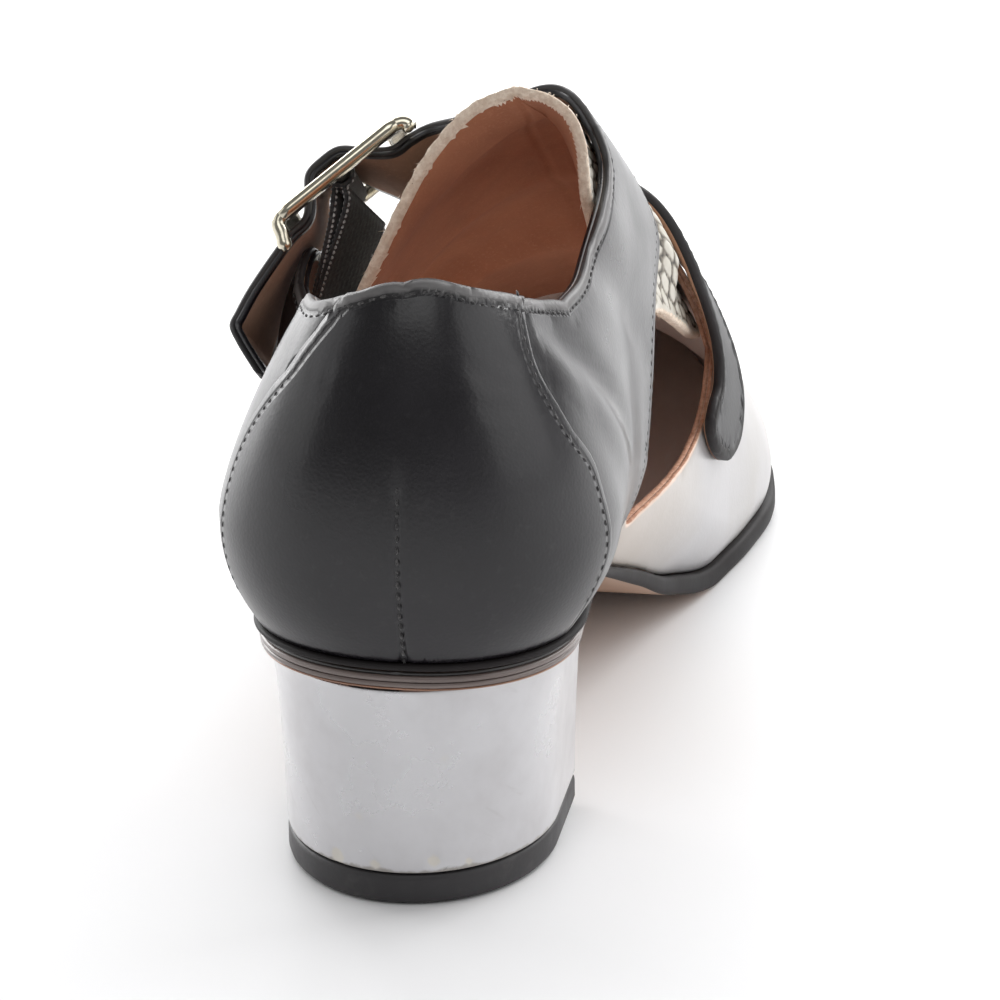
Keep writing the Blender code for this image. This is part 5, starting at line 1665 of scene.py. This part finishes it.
def make_webbing():
    """Two layers of ribbed elastic and a sleeve round the centre bar, with pale overlock dots at their edges."""
    black = woven("elastic_black", (0.05, 0.048, 0.05), (0.014, 0.013, 0.014))
    pale = woven("overlock_thread", (0.62, 0.6, 0.6), (0.3, 0.29, 0.29))
    shares = np.linspace(0, 1, WEBBING_CELLS)
    layer = WEBBING_THICKNESS / 2 - 0.08
    shells, dots = [], []
    for at_buckle, base, inner_ribs in (
        (WEBBING_AT_BUCKLE, 0.0, 1),
        (WEBBING_OUTER, WEBBING_THICKNESS / 2 + 0.04, 0.4),
    ):
        rear, front, normal = webbing_rows(at_buckle)
        relief = (ribs(len(rear), shares, RIB)[..., None] - RIB) * normal[:, None, :]
        surface = rear[:, None, :] + (front - rear)[:, None, :] * shares[None, :, None]
        low = surface - base * normal[:, None, :]
        high = low - layer * normal[:, None, :]
        shells.append((high - relief, low + relief * inner_ribs))
        for share in WEBBING_DOTS_AT:
            line = rear + (front - rear) * share
            dots.append((line - (base - RIB) * normal, normal))
            dots.append((line - (base + layer + RIB) * normal, -normal))
    turn = np.linspace(SLEEVE_GAP, 2 * np.pi - SLEEVE_GAP, SLEEVE_STEPS)[:, None]
    side = (WEBBING_EDGES[1] - WEBBING_EDGES[0]) * (shares[None, :] - 0.5)
    sleeve = []
    for (run, height), lift in ((SLEEVE_OUT, ribs(SLEEVE_STEPS, shares, SLEEVE_RIB) - SLEEVE_RIB), (SLEEVE_IN, 0.0)):
        ring = np.broadcast_arrays((run + lift) * np.cos(turn), side, (height + lift) * np.sin(turn))
        sleeve.append(buckle_point(*(values[..., None] for values in ring)))
    shells.append(sleeve)
    for column in (1, -2):
        line = sleeve[0][:, column]
        dots.append((line, unit(line - sleeve[1][:, column])))
    pieces, faces, start = [], [], 0
    for outer, inner in shells:
        points, quads, _ = grid_shell(outer, inner, capped_start=True)
        pieces.append(points)
        faces += shifted(quads, start)
        start += len(points)
    add_mesh("webbing", np.vstack(pieces), faces, [black], None, None, ("elastic",))
    points, quads = stitch_line(dots, *WEBBING_STITCH)
    add_mesh("webbing_dots", points, quads, [pale])


# Camera, floor and light


def view_axes():
    azimuth, elevation = np.radians(VIEW_AZIMUTH), np.radians(VIEW_ELEVATION)
    forward = np.array([
        -np.sin(azimuth) * np.cos(elevation), np.cos(azimuth) * np.cos(elevation), -np.sin(elevation)
    ])
    right = np.array([np.cos(azimuth), np.sin(azimuth), 0.0])
    return forward, right, np.cross(right, forward)


def make_camera():
    forward, right, up = view_axes()
    half = FRAME_SIDE / 2
    over = (VIEW_PIXEL[0] - half) / VIEW_FOCAL * VIEW_DEPTH
    above = (half - VIEW_PIXEL[1]) / VIEW_FOCAL * VIEW_DEPTH
    eye = np.array(VIEW_POINT) - right * over - up * above - forward * VIEW_DEPTH
    aim = forward + right * (FRAME_PIXEL[0] - half) / VIEW_FOCAL + up * (half - FRAME_PIXEL[1]) / VIEW_FOCAL
    data = bpy.data.cameras.new("photo_view")
    data.sensor_width = SENSOR
    data.lens = VIEW_FOCAL * FRAME_ZOOM / FRAME_SIDE * SENSOR
    data.clip_start = 0.05
    camera = bpy.data.objects.new("photo_view", data)
    bpy.context.collection.objects.link(camera)
    camera.location = (eye - (*PLAN_CENTRE, 0.0)) * MM
    aim /= np.linalg.norm(aim)
    level = right - aim * np.dot(right, aim)
    level /= np.linalg.norm(level)
    camera.rotation_euler = Matrix(np.stack([level, np.cross(level, aim), -aim], axis=1).tolist()).to_euler()
    bpy.context.scene.camera = camera


def make_stage():
    mesh = bpy.data.meshes.new("floor")
    corners = [(FLOOR_REACH * x, FLOOR_REACH * y, 0) for x, y in ((-1, -1), (1, -1), (1, 1), (-1, 1))]
    mesh.from_pydata(corners, [], [(0, 1, 2, 3)])
    mesh.materials.append(floor_look())
    floor = bpy.data.objects.new("floor", mesh)
    floor.location.z = -FLOOR_DROP
    bpy.context.collection.objects.link(floor)


def area_light(name, place, size, power):
    data = bpy.data.lights.new(name, "AREA")
    data.shape = "RECTANGLE"
    data.size, data.size_y = size
    data.energy = power
    light = bpy.data.objects.new(name, data)
    bpy.context.collection.objects.link(light)
    light.location = place
    light.rotation_euler = (Vector(LIGHTS_AIM) - Vector(place)).to_track_quat("-Z", "Y").to_euler()


def make_light():
    world = bpy.data.worlds.new("studio")
    world.use_nodes = True
    background = world.node_tree.nodes["Background"]
    background.inputs["Color"].default_value = (1.0, 1.0, 1.0, 1.0)
    background.inputs["Strength"].default_value = SKY
    bpy.context.scene.world = world
    for light in LIGHTS:
        area_light(*light)
    bpy.context.scene.view_settings.view_transform = "Standard"


make_camera()
make_upper()
make_tongue()
make_band()
make_stitches()
make_bottom()
make_buckle()
make_webbing()
make_stage()
make_light()
